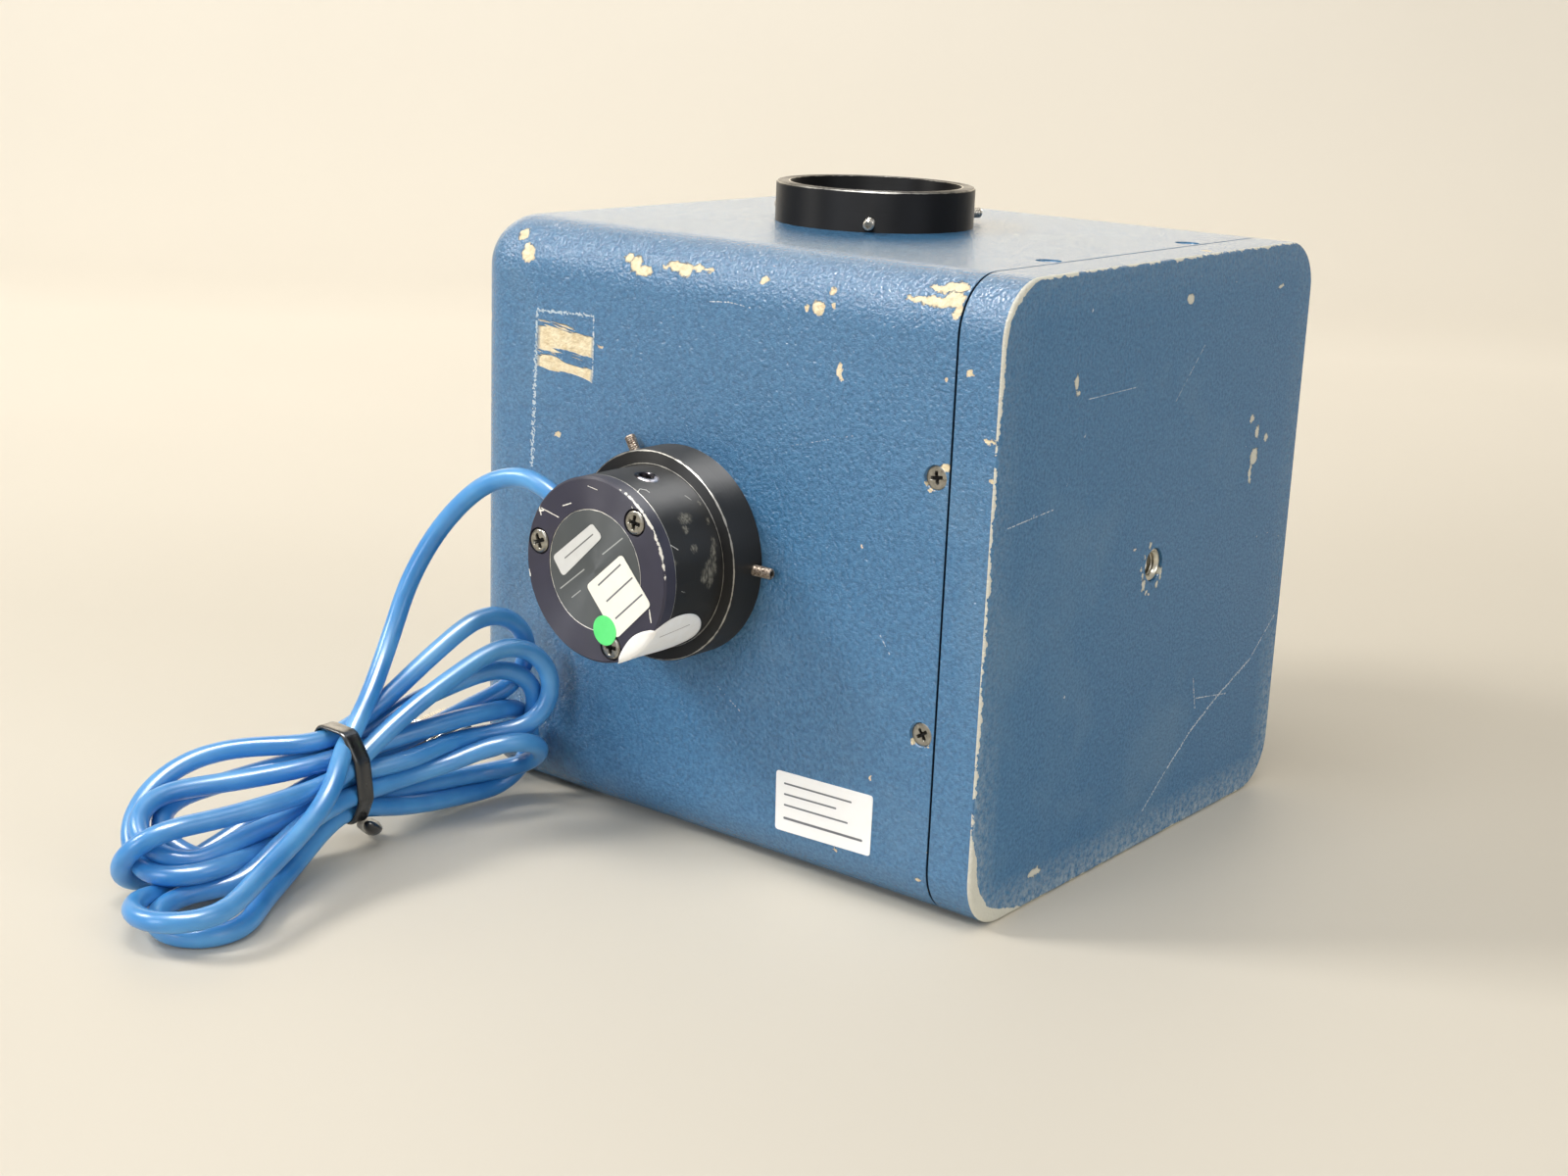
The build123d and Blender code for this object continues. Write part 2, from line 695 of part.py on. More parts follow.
def make_plug_sleeve():
    """Coupling sleeve that turns on the body, with two curved bayonet slots."""
    start = plug_plane(boot_length + plug_body_length - sleeve_lap)
    sleeve = disc(start, sleeve_outer_radius, sleeve_length)
    sleeve = chamfer(sleeve.edges().filter_by(GeomType.CIRCLE), 0.4)
    sleeve -= disc(start, plug_body_radius + sleeve_neck_clearance, sleeve_neck_length)
    sleeve -= disc(start.offset(sleeve_neck_length), sleeve_bore_radius, sleeve_length)
    for side in (0, 180):
        for step in range(bayonet_slot_steps):
            share = step / (bayonet_slot_steps - 1)
            across = start.offset(sleeve_length - share * bayonet_slot_depth)
            hole = radial(across, plug_contact_radius, side + share * bayonet_slot_turn)
            sleeve -= disc(hole, bayonet_slot_radius, sleeve_outer_radius)
    return sleeve


# ---------------------------------------------------------------- all the nodes
def make_nodes():
    nodes = {
        "housing_body": make_housing_body(),
        "end_cover": make_end_cover(),
        "cover_screws": make_cover_screws(),
        "thread_insert": make_thread_insert(),
        "sphere_ported_half": make_ported_half(),
        "sphere_blank_half": make_blank_half(),
        "sphere_screws": make_ear_screws(),
        "sphere_baffle": make_baffle(),
        "front_collar": make_front_collar(),
        "top_collar": make_top_collar(),
        "detector_barrel": make_barrel(),
        "detector_window": make_window(),
        "photodiode": make_diode(),
        "diode_holder": make_holder(),
        "board_spacers": make_spacers(),
        "circuit_board": make_board(),
        "detector_back_plate": make_back_plate(),
        "back_plate_screws": make_plate_screws(),
        "face_label": make_label(),
        "cable_gland": make_gland(),
        "cable_lead": make_tube("cable_lead", [gland_exit()] + cable_route),
        "cable_hank": make_hank(),
        "cable_tie": make_tie(),
        "cable_tail": make_tube("cable_tail", tail_route),
        "plug_boot": make_boot(),
        "plug_body": make_plug_body(),
        "plug_insulator": make_plug_insulator(),
        "plug_pin": make_plug_pin(),
        "plug_sleeve": make_plug_sleeve(),
    }
    for place, angle in front_screw_angles.items():
        tip_radius = barrel_radius + front_screw_tip_gap
        nodes["front_set_screw_" + place] = make_set_screw(
            front_port_plane(half_width), angle, tip_radius)
    for place, angle in top_screw_angles.items():
        tip_radius = collar_bore_radius + top_screw_tip_gap
        nodes["top_set_screw_" + place] = make_set_screw(
            top_port_plane(half_height), angle, tip_radius)
    return nodes


os.makedirs("parts", exist_ok=True)
for node, shape in make_nodes().items():
    solids = shape if isinstance(shape, list) else [shape]
    pieces = [solid for item in solids for solid in item.solids()]
    export_step(pieces[0] if len(pieces) == 1 else Compound(pieces), f"parts/{node}.step")
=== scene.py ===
"""An integrating sphere in its square blue housing, with a photodiode head in the front port and the head's
lead tied in a hank beside it. Lengths in the tables are millimetres, and MM turns them to metres."""
import math

import bmesh
import bpy
import numpy as np
from mathutils import Matrix, Vector


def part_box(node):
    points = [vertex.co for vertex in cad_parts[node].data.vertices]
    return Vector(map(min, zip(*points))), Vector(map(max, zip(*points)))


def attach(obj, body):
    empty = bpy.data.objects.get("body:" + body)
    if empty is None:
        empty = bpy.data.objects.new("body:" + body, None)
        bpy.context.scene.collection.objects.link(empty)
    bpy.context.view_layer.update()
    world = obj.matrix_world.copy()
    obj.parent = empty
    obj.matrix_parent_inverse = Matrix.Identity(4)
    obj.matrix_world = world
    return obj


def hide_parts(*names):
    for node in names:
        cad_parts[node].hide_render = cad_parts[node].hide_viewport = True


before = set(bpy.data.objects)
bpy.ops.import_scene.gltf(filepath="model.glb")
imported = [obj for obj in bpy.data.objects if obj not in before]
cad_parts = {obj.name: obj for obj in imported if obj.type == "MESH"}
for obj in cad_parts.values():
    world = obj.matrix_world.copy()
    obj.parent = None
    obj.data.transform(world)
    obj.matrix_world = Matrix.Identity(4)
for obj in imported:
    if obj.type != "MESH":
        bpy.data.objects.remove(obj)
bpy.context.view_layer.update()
MM = 0.001


# ---------------------------------------------------------------- camera
# A normal lens a little above the housing, looking at the corner between the front face and the end cover.
camera_place = Vector((0.3182, -0.44765, 0.19815))
camera_right = Vector((0.780928, 0.623418, 0.038749))
camera_down = Vector((0.192596, -0.181315, -0.964382))
camera_ahead = Vector((-0.594187, 0.760576, -0.261661))
camera_data = bpy.data.cameras.new("camera")
camera_data.sensor_width = 36.0
camera_data.lens = 50.54
camera_data.clip_start = 0.01
camera = bpy.data.objects.new("camera", camera_data)
bpy.context.scene.collection.objects.link(camera)
camera_turn = Matrix((camera_right, -camera_down, -camera_ahead)).transposed()
camera.matrix_world = Matrix.Translation(camera_place) @ camera_turn.to_4x4()
bpy.context.scene.camera = camera


# ---------------------------------------------------------------- signal lead
# A thin limp coaxial lead in glossy blue PVC. It leaves the head behind its back plate, falls in one bend
# and is folded six times into a hank, held in the middle by a strap, with its plug tucked behind the turns.
lead_diameter = 4.6
lead_route = [
    (-26.76, -90.55, 82.65),
    (-34.2, -90.55, 86.5),
    (-43.6, -91.3, 86.2),
    (-52.6, -92.8, 81.8),
    (-61.6, -96.2, 71.4),
    (-66.3, -101.6, 58.6),
    (-64.8, -108.9, 45.9),
    (-60.5, -118.5, 35.8),
]
tail_route = [
    (-63.0, -124.4, 13.6),
    (-65.9, -118.6, 12.8),
    (-68.4, -112.4, 12.3),
    (-70.0, -106.0, 12.0),
]

# Inside the strap the turns lie in rows of two and three, like a stack of rods.
strap_middle = (-58.5, -129.8, 18.5)
row_counts = (2, 3, 2, 3, 2)
rod_pitch = 4.85
row_pitch = 4.1
rods = []
for row, count in enumerate(row_counts):
    for place in range(count):
        across = (place - (count - 1) / 2) * rod_pitch
        up = ((len(row_counts) - 1) / 2 - row) * row_pitch
        rods.append((strap_middle[0] + across, strap_middle[1], strap_middle[2] + up))

# Each fold starts from a rod in the strap and passes these places; far and near folds take turns.
folds = [
    (1, [(-51, -137.5, 20.5), (-46, -149, 15.5), (-39.5, -168, 10.5), (-34, -184, 8.2), (-35, -194, 7.7),
         (-43, -197, 7.7), (-50.5, -192, 7), (-56, -183, 4.5), (-58.5, -171, 3), (-59.5, -157, 3),
         (-61, -143, 5.5)]),
    (10, [(-61, -118, 8.5), (-59.5, -104, 7.5), (-56.5, -90, 8), (-51.5, -80, 9), (-44.5, -75.5, 12),
         (-42.5, -79.5, 16.5), (-45.5, -89, 17.5), (-50.5, -101, 17.5), (-53, -114, 16)]),
    (9, [(-51, -142, 14.5), (-49.5, -158, 10.5), (-51, -172, 7.5), (-53, -181.5, 4.8), (-51, -189.5, 3),
         (-44.5, -193, 2.6), (-38.5, -189.5, 2.6), (-37, -181.5, 2.6), (-41, -169.5, 2.6),
         (-48.5, -154.5, 3.2), (-55, -140, 6.5)]),
    (11, [(-55.5, -118, 7), (-57, -103, 5), (-57, -89, 4.5), (-54, -79, 6.5), (-50.5, -74.5, 13),
         (-50.5, -74.5, 20), (-50.5, -80, 25.5), (-51, -92, 26.5), (-53, -106, 25.5), (-56.5, -120, 24)]),
    (3, [(-59.5, -139, 22), (-66.5, -151, 20.5), (-71, -162, 19.5), (-71, -172, 17), (-67, -180, 13.5),
         (-61, -181, 10), (-57, -172, 9.5), (-55.5, -158, 10.5), (-55.5, -143, 14)]),
    (6, [(-52, -118, 18.5), (-51.5, -104, 19.5), (-50.5, -92, 21.5), (-46, -81, 25.5), (-41.5, -76, 31),
         (-42.5, -76.5, 37), (-47.5, -83, 40), (-50.5, -95, 39), (-52, -108, 34.5), (-53.5, -120, 28)]),
    (4, [(-52, -140, 20.5), (-51.5, -155, 19.5), (-56.5, -169, 17.5), (-61.5, -180, 14.5), (-66, -187, 10.5),
         (-69, -185.5, 6), (-68, -177, 4.5), (-65, -165, 7), (-63.5, -150, 10), (-62, -138, 14)]),
    (5, [(-60, -120, 20), (-58, -106, 22.5), (-54.5, -93, 27), (-50, -81, 34), (-48.5, -76, 40),
         (-51, -77, 45), (-54, -87, 46.5), (-56, -99, 44), (-58, -110, 37.5), (-60.5, -120, 30.5)]),
    (0, [(-63.5, -140, 27), (-71, -147.5, 26), (-76.5, -155, 24.5), (-78.5, -163.5, 21.5), (-76.5, -172, 17),
         (-70.5, -179.5, 12), (-62.5, -183.5, 8.6), (-55, -182, 7.7), (-53.5, -173, 7.7), (-56, -159, 8),
         (-58.5, -143, 11)]),
    (8, [(-58.5, -118, 12), (-58, -104, 13), (-54.5, -90, 16), (-50, -79, 21), (-47, -75.5, 27),
         (-48, -79, 32.5), (-52, -90, 34.5), (-56, -102, 33), (-60.5, -116, 28)]),
    (2, [(-65.5, -141, 22), (-71.5, -153, 18.5), (-73, -163, 15.5), (-70.5, -171.5, 12.5), (-64, -174.5, 11),
         (-59, -170, 10.5), (-60, -158, 8), (-62.5, -147, 9), (-63.5, -138, 12)]),
]
last_rod = 7


def along(places, step):
    """A smooth line through the places, cut into equal steps."""
    knots = np.array([2 * np.array(places[0]) - np.array(places[1])] + list(places)
                     + [2 * np.array(places[-1]) - np.array(places[-2])], dtype=float)
    fine = []
    for before, start, end, after in zip(knots[:-3], knots[1:-2], knots[2:-1], knots[3:]):
        for share in np.arange(0.0, 1.0, 0.05):
            fine.append(0.5 * (2 * start + (end - before) * share
                               + (2 * before - 5 * start + 4 * end - after) * share**2
                               + (3 * start - before - 3 * end + after) * share**3))
    fine.append(knots[-2])
    fine = np.array(fine)
    run = np.concatenate([[0.0], np.cumsum(np.linalg.norm(np.diff(fine, axis=0), axis=1))])
    marks = np.linspace(0.0, run[-1], int(round(run[-1] / step)) + 1)
    return np.stack([np.interp(marks, run, fine[:, axis]) for axis in range(3)], axis=1)


# How the lead settles: the room it keeps, the tightest radius it bends to, and where along Y the hank ends.
# In each pass a place is drawn back to where it started, harder in the strap, while stiffness, tight bends
# and turns that touch push it away, by no more than the furthest move. Turns near each other are looked up
# again every ten passes, past a place's own neighbours.
lead_room = 0.05
tightest_bend = 11.8
hank_ends = (-196.9, -73.6)
home_pull = 0.004
strap_pull = 0.06
strap_hold = 3.0
stiffness = 0.06
bend_ease = 0.14
turn_push = 0.22
furthest_move = 0.6
look_again = 10
look_within = 2.5
own_neighbours = 5


def settled(line, held, passes):
    """The line as a real lead lies: no turn in another, no bend too tight, its length kept, on the table."""
    touch = lead_diameter + lead_room
    home = line.copy()
    count = len(line)
    order = np.arange(count)
    step = np.linalg.norm(np.diff(line, axis=0), axis=1).mean()
    pull = home_pull + strap_pull * np.exp(-(((home[:, 1] - strap_middle[1]) / strap_hold) ** 2))
    free = np.where(held, 0.0, 1.0)[:, None]
    for turn in range(passes):
        if turn % look_again == 0:
            apart = np.linalg.norm(line[:, None, :] - line[None, :, :], axis=-1)
            later = order[None, :] - order[:, None] > own_neighbours
            one, other = np.where((apart < touch + look_within) & later)
        move = pull[:, None] * (home - line)
        curve = np.zeros_like(line)
        curve[1:-1] = line[:-2] + line[2:] - 2 * line[1:-1]
        move[1:-1] -= stiffness * (curve[:-2] + curve[2:] - 2 * curve[1:-1])
        for reach in (2, 3, 4, 5):
            sag = 0.5 * (line[:-2 * reach] + line[2 * reach:]) - line[reach:-reach]
            deep = np.linalg.norm(sag, axis=1, keepdims=True) + 1e-9
            allowed = (reach * step) ** 2 / (2 * tightest_bend)
            ease = bend_ease * sag / deep * np.clip(deep - allowed, 0.0, None)
            move[reach:-reach] += ease
            move[:-2 * reach] -= ease / 2
            move[2 * reach:] -= ease / 2
        gap = line[one] - line[other]
        wide = np.linalg.norm(gap, axis=1, keepdims=True) + 1e-9
        push = turn_push * gap / wide * np.clip(touch - wide, 0.0, None)
        np.add.at(move, one, push)
        np.add.at(move, other, -push)
        size = np.linalg.norm(move, axis=1, keepdims=True)
        line = line + free * move * np.minimum(1.0, furthest_move / np.maximum(size, 1e-9))
        for again in range(3):
            for first in (0, 1):
                near = np.arange(first, count - 1, 2)
                link = line[near + 1] - line[near]
                long = np.linalg.norm(link, axis=1, keepdims=True)
                mend = link / long * (long - step) / np.maximum(free[near] + free[near + 1], 1.0)
                line[near] += mend * free[near]
                line[near + 1] -= mend * free[near + 1]
        line[:, 2] = np.maximum(line[:, 2], lead_diameter / 2 + lead_room)
        line[:, 1] = np.clip(line[:, 1], *hank_ends)
    return line


hank_places = [lead_route[-2], lead_route[-1]]
for rod, places in folds:
    hank_places.append(rods[rod])
    hank_places.extend(places)
hank_places.append(rods[last_rod])
hank_places.extend(tail_route[:2])
hank_line = along(hank_places, 2.6)
from_lead = int(np.linalg.norm(hank_line - np.array(lead_route[-1]), axis=1).argmin())
to_tail = int(np.linalg.norm(hank_line - np.array(tail_route[0]), axis=1).argmin())
hank_held = np.ones(len(hank_line), dtype=bool)
hank_held[from_lead:to_tail] = False
hank_line = settled(hank_line, hank_held, 1200)

# Three rounds of smoothing, each followed by a little sharpening so that the turns keep their size.
for strength in (0.45, -0.47) * 3:
    eased = hank_line[:-2] + hank_line[2:] - 2 * hank_line[1:-1]
    hank_line[1:-1] += np.where(hank_held[1:-1], 0.0, strength / 2)[:, None] * eased
hank_points = [tuple(place) for place in hank_line[from_lead + 3:to_tail - 2:2]]
lead_points = lead_route + hank_points + tail_route

lead_curve = bpy.data.curves.new("signal_lead", "CURVE")
lead_curve.dimensions = "3D"
lead_curve.bevel_depth = lead_diameter / 2 * MM
lead_curve.bevel_resolution = 7
lead_curve.resolution_u = 6
lead_curve.use_fill_caps = True
lead_spline = lead_curve.splines.new("NURBS")
lead_spline.points.add(len(lead_points) - 1)
for point, place in zip(lead_spline.points, lead_points):
    point.co = (place[0] * MM, place[1] * MM, place[2] * MM, 1.0)
lead_spline.order_u = 3
lead_spline.use_endpoint_u = True
lead = bpy.data.objects.new("signal_lead", lead_curve)
bpy.context.scene.collection.objects.link(lead)


def colour(code):
    """An sRGB hex colour as linear values for a shader."""
    parts = [int(code[place:place + 2], 16) / 255 for place in (1, 3, 5)]
    linear = [part / 12.92 if part <= 0.04045 else ((part + 0.055) / 1.055) ** 2.4 for part in parts]
    return (*linear, 1.0)


def feed(node, inputs):
    """Inputs take a number, a hex colour, a socket or a node's live output; a list fills them in turn."""
    for name, value in inputs.items() if isinstance(inputs, dict) else enumerate(inputs):
        if isinstance(value, bpy.types.Node):
            value = next(socket for socket in value.outputs if socket.enabled)
        if isinstance(value, bpy.types.NodeSocket):
            node.id_data.links.new(value, node.inputs[name])
        else:
            node.inputs[name].default_value = colour(value) if isinstance(value, str) else value


def add_node(tree, kind, inputs=(), stops=(), **settings):
    """One shader node with its settings and inputs; stops are the places and tints of a colour ramp."""
    made = tree.nodes.new("ShaderNode" + kind)
    for name, value in settings.items():
        setattr(made, name, value)
    for number, (place, tint) in enumerate(stops):
        made.color_ramp.elements[number].position = place
        made.color_ramp.elements[number].color = colour(tint)
    feed(made, inputs)
    return made


def start_material(name, **shader_values):
    """A new material, its tree, its shader with constants such as Roughness, and the place it colours."""
    made = bpy.data.materials.new(name)
    made.use_nodes = True
    shader = made.node_tree.nodes["Principled BSDF"]
    feed(shader, {socket.replace("_", " "): value for socket, value in shader_values.items()})
    return made, made.node_tree, shader, add_node(made.node_tree, "TexCoord").outputs["Object"]


def wear(part, material):
    """The piece takes this material in every one of its slots."""
    slots = part.data.materials
    if len(slots) == 0:
        slots.append(material)
    for number in range(len(slots)):
        slots[number] = material


# Plasticised PVC, extruded and glossy: it scatters a little light, and handling leaves it dull in patches.
pvc, pvc_tree, pvc_shader, pvc_place = start_material(
    "extruded_blue_pvc", IOR=1.5, Coat_Weight=0.3, Coat_Roughness=0.2, Subsurface_Weight=0.08,
    Subsurface_Scale=0.002)
pvc_patches = add_node(pvc_tree, "TexNoise", {"Vector": pvc_place, "Scale": 1 / (18 * MM), "Detail": 3.0})
pvc_grain = add_node(pvc_tree, "TexNoise", {"Vector": pvc_place, "Scale": 1 / (1.5 * MM), "Detail": 2.0})
feed(pvc_shader, {
    "Base Color": add_node(pvc_tree, "ValToRGB", [pvc_patches], [(0.35, "#3685c9"), (0.7, "#5aa4de")]),
    "Roughness": add_node(pvc_tree, "MapRange", [pvc_patches, 0.35, 0.75, 0.3, 0.44]),
    "Normal": add_node(pvc_tree, "Bump", {"Height": pvc_grain, "Distance": 0.03 * MM, "Strength": 0.5})})
wear(lead, pvc)

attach(lead, "detector")
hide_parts("cable_lead", "cable_hank", "cable_tail")


# ---------------------------------------------------------------- strap round the hank
# A flat black vinyl strap drawn tight round the turns, its end twisted and tucked under the hank. It is
# extruded with two shallow ribs, and glossy.
strap_width = 4.8
strap_thickness = 1.0


def outline_round(points):
    """The points on the outside of a set, in order round it."""
    ordered = sorted(points)
    halves = []
    for run in (ordered, ordered[::-1]):
        chain = []
        for point in run:
            while len(chain) > 1 and ((chain[-1][0] - chain[-2][0]) * (point[1] - chain[-2][1])
                                      - (chain[-1][1] - chain[-2][1]) * (point[0] - chain[-2][0])) <= 0:
                chain.pop()
            chain.append(point)
        halves.append(chain[:-1])
    return halves[0] + halves[1]


def finished(name, build, sharp=None, smooth=True):
    """The built faces as a piece; sharp is the angle in degrees from which an edge stays hard."""
    bmesh.ops.recalc_face_normals(build, faces=build.faces)
    mesh = bpy.data.meshes.new(name)
    build.to_mesh(mesh)
    build.free()
    if smooth:
        mesh.shade_smooth()
    if sharp:
        mesh.set_sharp_from_angle(angle=math.radians(sharp))
    made = bpy.data.objects.new(name, mesh)
    bpy.context.scene.collection.objects.link(made)
    return made


def skinned(name, rings, ends=(), loop=False, weld=False, **finish):
    """A piece skinned over rings of places in millimetres; ends are the rings that a flat face fills."""
    build = bmesh.new()
    rings = [[build.verts.new(Vector(place) * MM) for place in ring] for ring in rings]
    for ring, following in zip(rings, rings[1:] + rings[:1] if loop else rings[1:]):
        for number in range(len(ring)):
            after = (number + 1) % len(ring)
            build.faces.new((ring[number], ring[after], following[after], following[number]))
    for end in ends:
        build.faces.new(rings[end])
    if weld:
        bmesh.ops.remove_doubles(build, verts=build.verts, dist=1e-7)
    return finished(name, build, **finish)


def around(count):
    """The angles of that many places evenly round a circle."""
    return [math.tau * step / count for step in range(count)]


crossings = []
for before, after in zip(hank_line[:-1], hank_line[1:]):
    if (before[1] - strap_middle[1]) * (after[1] - strap_middle[1]) <= 0:
        crossings.append((float(before[0] + after[0]) / 2, float(before[2] + after[2]) / 2))
strap_reach = lead_diameter / 2 + 0.15
strap_low = 1.3
strap_line = outline_round([
    (x + strap_reach * math.cos(turn), max(z + strap_reach * math.sin(turn), strap_low))
    for x, z in crossings for turn in around(24)])
strap_profile = [(-0.5, 0.0), (-0.5, 0.55), (-0.42, 0.9), (-0.3, 1.0), (-0.18, 0.92), (0.0, 0.86),
                 (0.18, 0.92), (0.3, 1.0), (0.42, 0.9), (0.5, 0.55), (0.5, 0.0)]
strap_lean = 0.12
strap_rings = []
for number, (x, z) in enumerate(strap_line):
    back = Vector(strap_line[number - 1])
    ahead = Vector(strap_line[(number + 1) % len(strap_line)])
    run = (ahead - back).normalized()
    lean = strap_lean * (z - strap_middle[2])
    strap_rings.append([(
        x + run.y * rise * strap_thickness, strap_middle[1] + side * strap_width - lean,
        z - run.x * rise * strap_thickness) for side, rise in strap_profile])
strap = skinned("hank_strap", strap_rings, loop=True)

# The strap's end: a short twisted tongue that comes out under the bundle towards the housing.
knot_line = [(-52.5, -127.5, 7.0), (-53.5, -125.0, 4.6), (-56.0, -122.5, 3.4), (-59.5, -121.2, 3.0),
             (-62.5, -121.8, 2.8)]
knot_sizes = [(1.6, 1.0), (2.2, 1.7), (2.5, 2.1), (2.3, 1.9), (1.2, 0.9)]
knot_rings = []
for number, (middle, (wide, high)) in enumerate(zip(knot_line, knot_sizes)):
    run = Vector(knot_line[min(number + 1, len(knot_line) - 1)]) - Vector(knot_line[max(number - 1, 0)])
    run.normalize()
    level = run.cross(Vector((0, 0, 1))).normalized()
    rise = level.cross(run)
    ring = []
    for turn in around(10):
        across = wide * math.cos(turn) * (1 + 0.12 * math.cos(3 * turn + 0.5 * number))
        place = Vector(middle) + level * across + rise * high * math.sin(turn)
        place.z = max(place.z, 0.3)
        ring.append(place)
    knot_rings.append(ring)
knot = skinned("strap_end", knot_rings, ends=(0, -1))


def mottled(name, size, low, high, detail=2.0, rough=None, bump=None, **shader_values):
    """A material that goes from one tint and gloss to another in patches of that size in millimetres."""
    made, tree, shader, place = start_material(name, **shader_values)
    noise = add_node(tree, "TexNoise", {"Vector": place, "Scale": 1 / (size * MM), "Detail": detail})
    feed(shader, {"Base Color": low if high == low else add_node(
        tree, "Mix", {0: noise, 6: low, 7: high}, data_type="RGBA")})
    if rough:
        feed(shader, {"Roughness": add_node(tree, "MapRange", {0: noise, 3: rough[0], 4: rough[1]})})
    if bump:
        feed(shader, {"Normal": add_node(tree, "Bump", {
            "Height": noise, "Distance": bump[0] * MM, "Strength": bump[1]})})
    return made


# Black vinyl with carbon black: near black, with a wet-looking gloss and slight extrusion lines.
vinyl = mottled("extruded_black_vinyl", 2.5, "#1a1a1b", "#1a1a1b", 3.0, (0.18, 0.42), (0.08, 0.6), IOR=1.54,
                Coat_Weight=0.5, Coat_Roughness=0.1)
for piece, levels in ((strap, 1), (knot, 2)):
    rounding = piece.modifiers.new("smooth", "SUBSURF")
    rounding.levels = levels
    rounding.render_levels = levels
    wear(piece, vinyl)
    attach(piece, "detector")
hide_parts("cable_tie")


# ---------------------------------------------------------------- plug
# A bayonet coaxial plug: a rubber boot, a nickel-plated brass body, contact and coupling sleeve, a white
# insulator and a gold-plated pin. The boot slides over the lead, and the sleeve is knurled so that fingers
# can turn it.

# Moulded neoprene: black with a grey bloom, dull, and slightly pebbled.
rubber = mottled(
    "moulded_black_rubber", 0.5, "#1b1b1c", "#2c2c2d", 3.0, bump=(0.04, 0.7), IOR=1.5, Roughness=0.6)
for name in ("plug_boot", "cable_gland"):
    wear(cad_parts[name], rubber)

# Bright nickel plate over turned brass: warm grey, with fine turning lines and dull finger marks.
wear(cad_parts["plug_body"], mottled(
    "turned_nickel_plate", 4, "#b9b5ab", "#dcd9d0", 4.0, (0.14, 0.34), Metallic=1.0))

# The sleeve has the same plate over a straight knurl, whose ribs stand 0.8 mm apart round it.
plug_low, plug_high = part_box("plug_sleeve")
plug_middle = (plug_low + plug_high) / 2
plug_run = Vector((-0.2423, 0.9691, -0.0454)).normalized()
plug_level = plug_run.cross(Vector((0, 0, 1))).normalized()
plug_rise = plug_level.cross(plug_run)
knurl_pitch = 0.8 * MM
sleeve_radius = 7.25 * MM
knurl, knurl_tree, knurl_shader, knurl_place = start_material(
    "knurled_nickel_plate", Metallic=1.0, Roughness=0.26)
knurl_from = add_node(knurl_tree, "VectorMath", [knurl_place, plug_middle], operation="SUBTRACT")
knurl_ways = [add_node(knurl_tree, "VectorMath", [knurl_from, way], operation="DOT_PRODUCT")
              for way in (plug_level, plug_rise)]
knurl_turn = add_node(knurl_tree, "Math", knurl_ways, operation="ARCTAN2")
knurl_count = add_node(knurl_tree, "Math", [
    knurl_turn, round(math.tau * sleeve_radius / knurl_pitch)], operation="MULTIPLY")
knurl_rib = add_node(knurl_tree, "Math", [knurl_count], operation="SINE")
# Each groove is painted darker and each crest lighter, following the ribs: painted shade and highlight on the
# knurl.
knurl_painted_shade = add_node(knurl_tree, "MapRange", [knurl_rib, -1.0, 1.0, 0.0, 1.0])
feed(knurl_shader, {
    "Base Color": add_node(knurl_tree, "Mix", {0: knurl_painted_shade, 6: "#8f8b82", 7: "#dedbd2"}, data_type="RGBA"),
    "Normal": add_node(knurl_tree, "Bump", {"Height": knurl_rib, "Distance": 0.1 * MM, "Strength": 1.0})})
wear(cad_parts["plug_sleeve"], knurl)

# Turned PTFE: white, waxy and a little translucent.
wear(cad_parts["plug_insulator"], mottled(
    "turned_white_ptfe", 1.5, "#dedcd4", "#f1f0ea", Roughness=0.45, IOR=1.38, Subsurface_Weight=0.15,
    Subsurface_Scale=0.001))

# Hard gold over nickel: yellow and bright, worn duller at the tip.
wear(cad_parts["plug_pin"], mottled(
    "plated_gold", 0.8, "#c9a24a", "#ecca74", rough=(0.15, 0.35), Metallic=1.0))


# ---------------------------------------------------------------- housing body and end cover
# A deep-drawn aluminium box and its screwed end cover, sprayed with textured blue enamel over cream primer.
# Years of use have chipped the enamel along the edges and the joint, and rubbed it through all round the
# cover's face.
front_y = -70.55
middle_z = 71.65
cover_x = 78.1
joint_x = 66.6
corner_radius = 12.7
near_front = -70.6

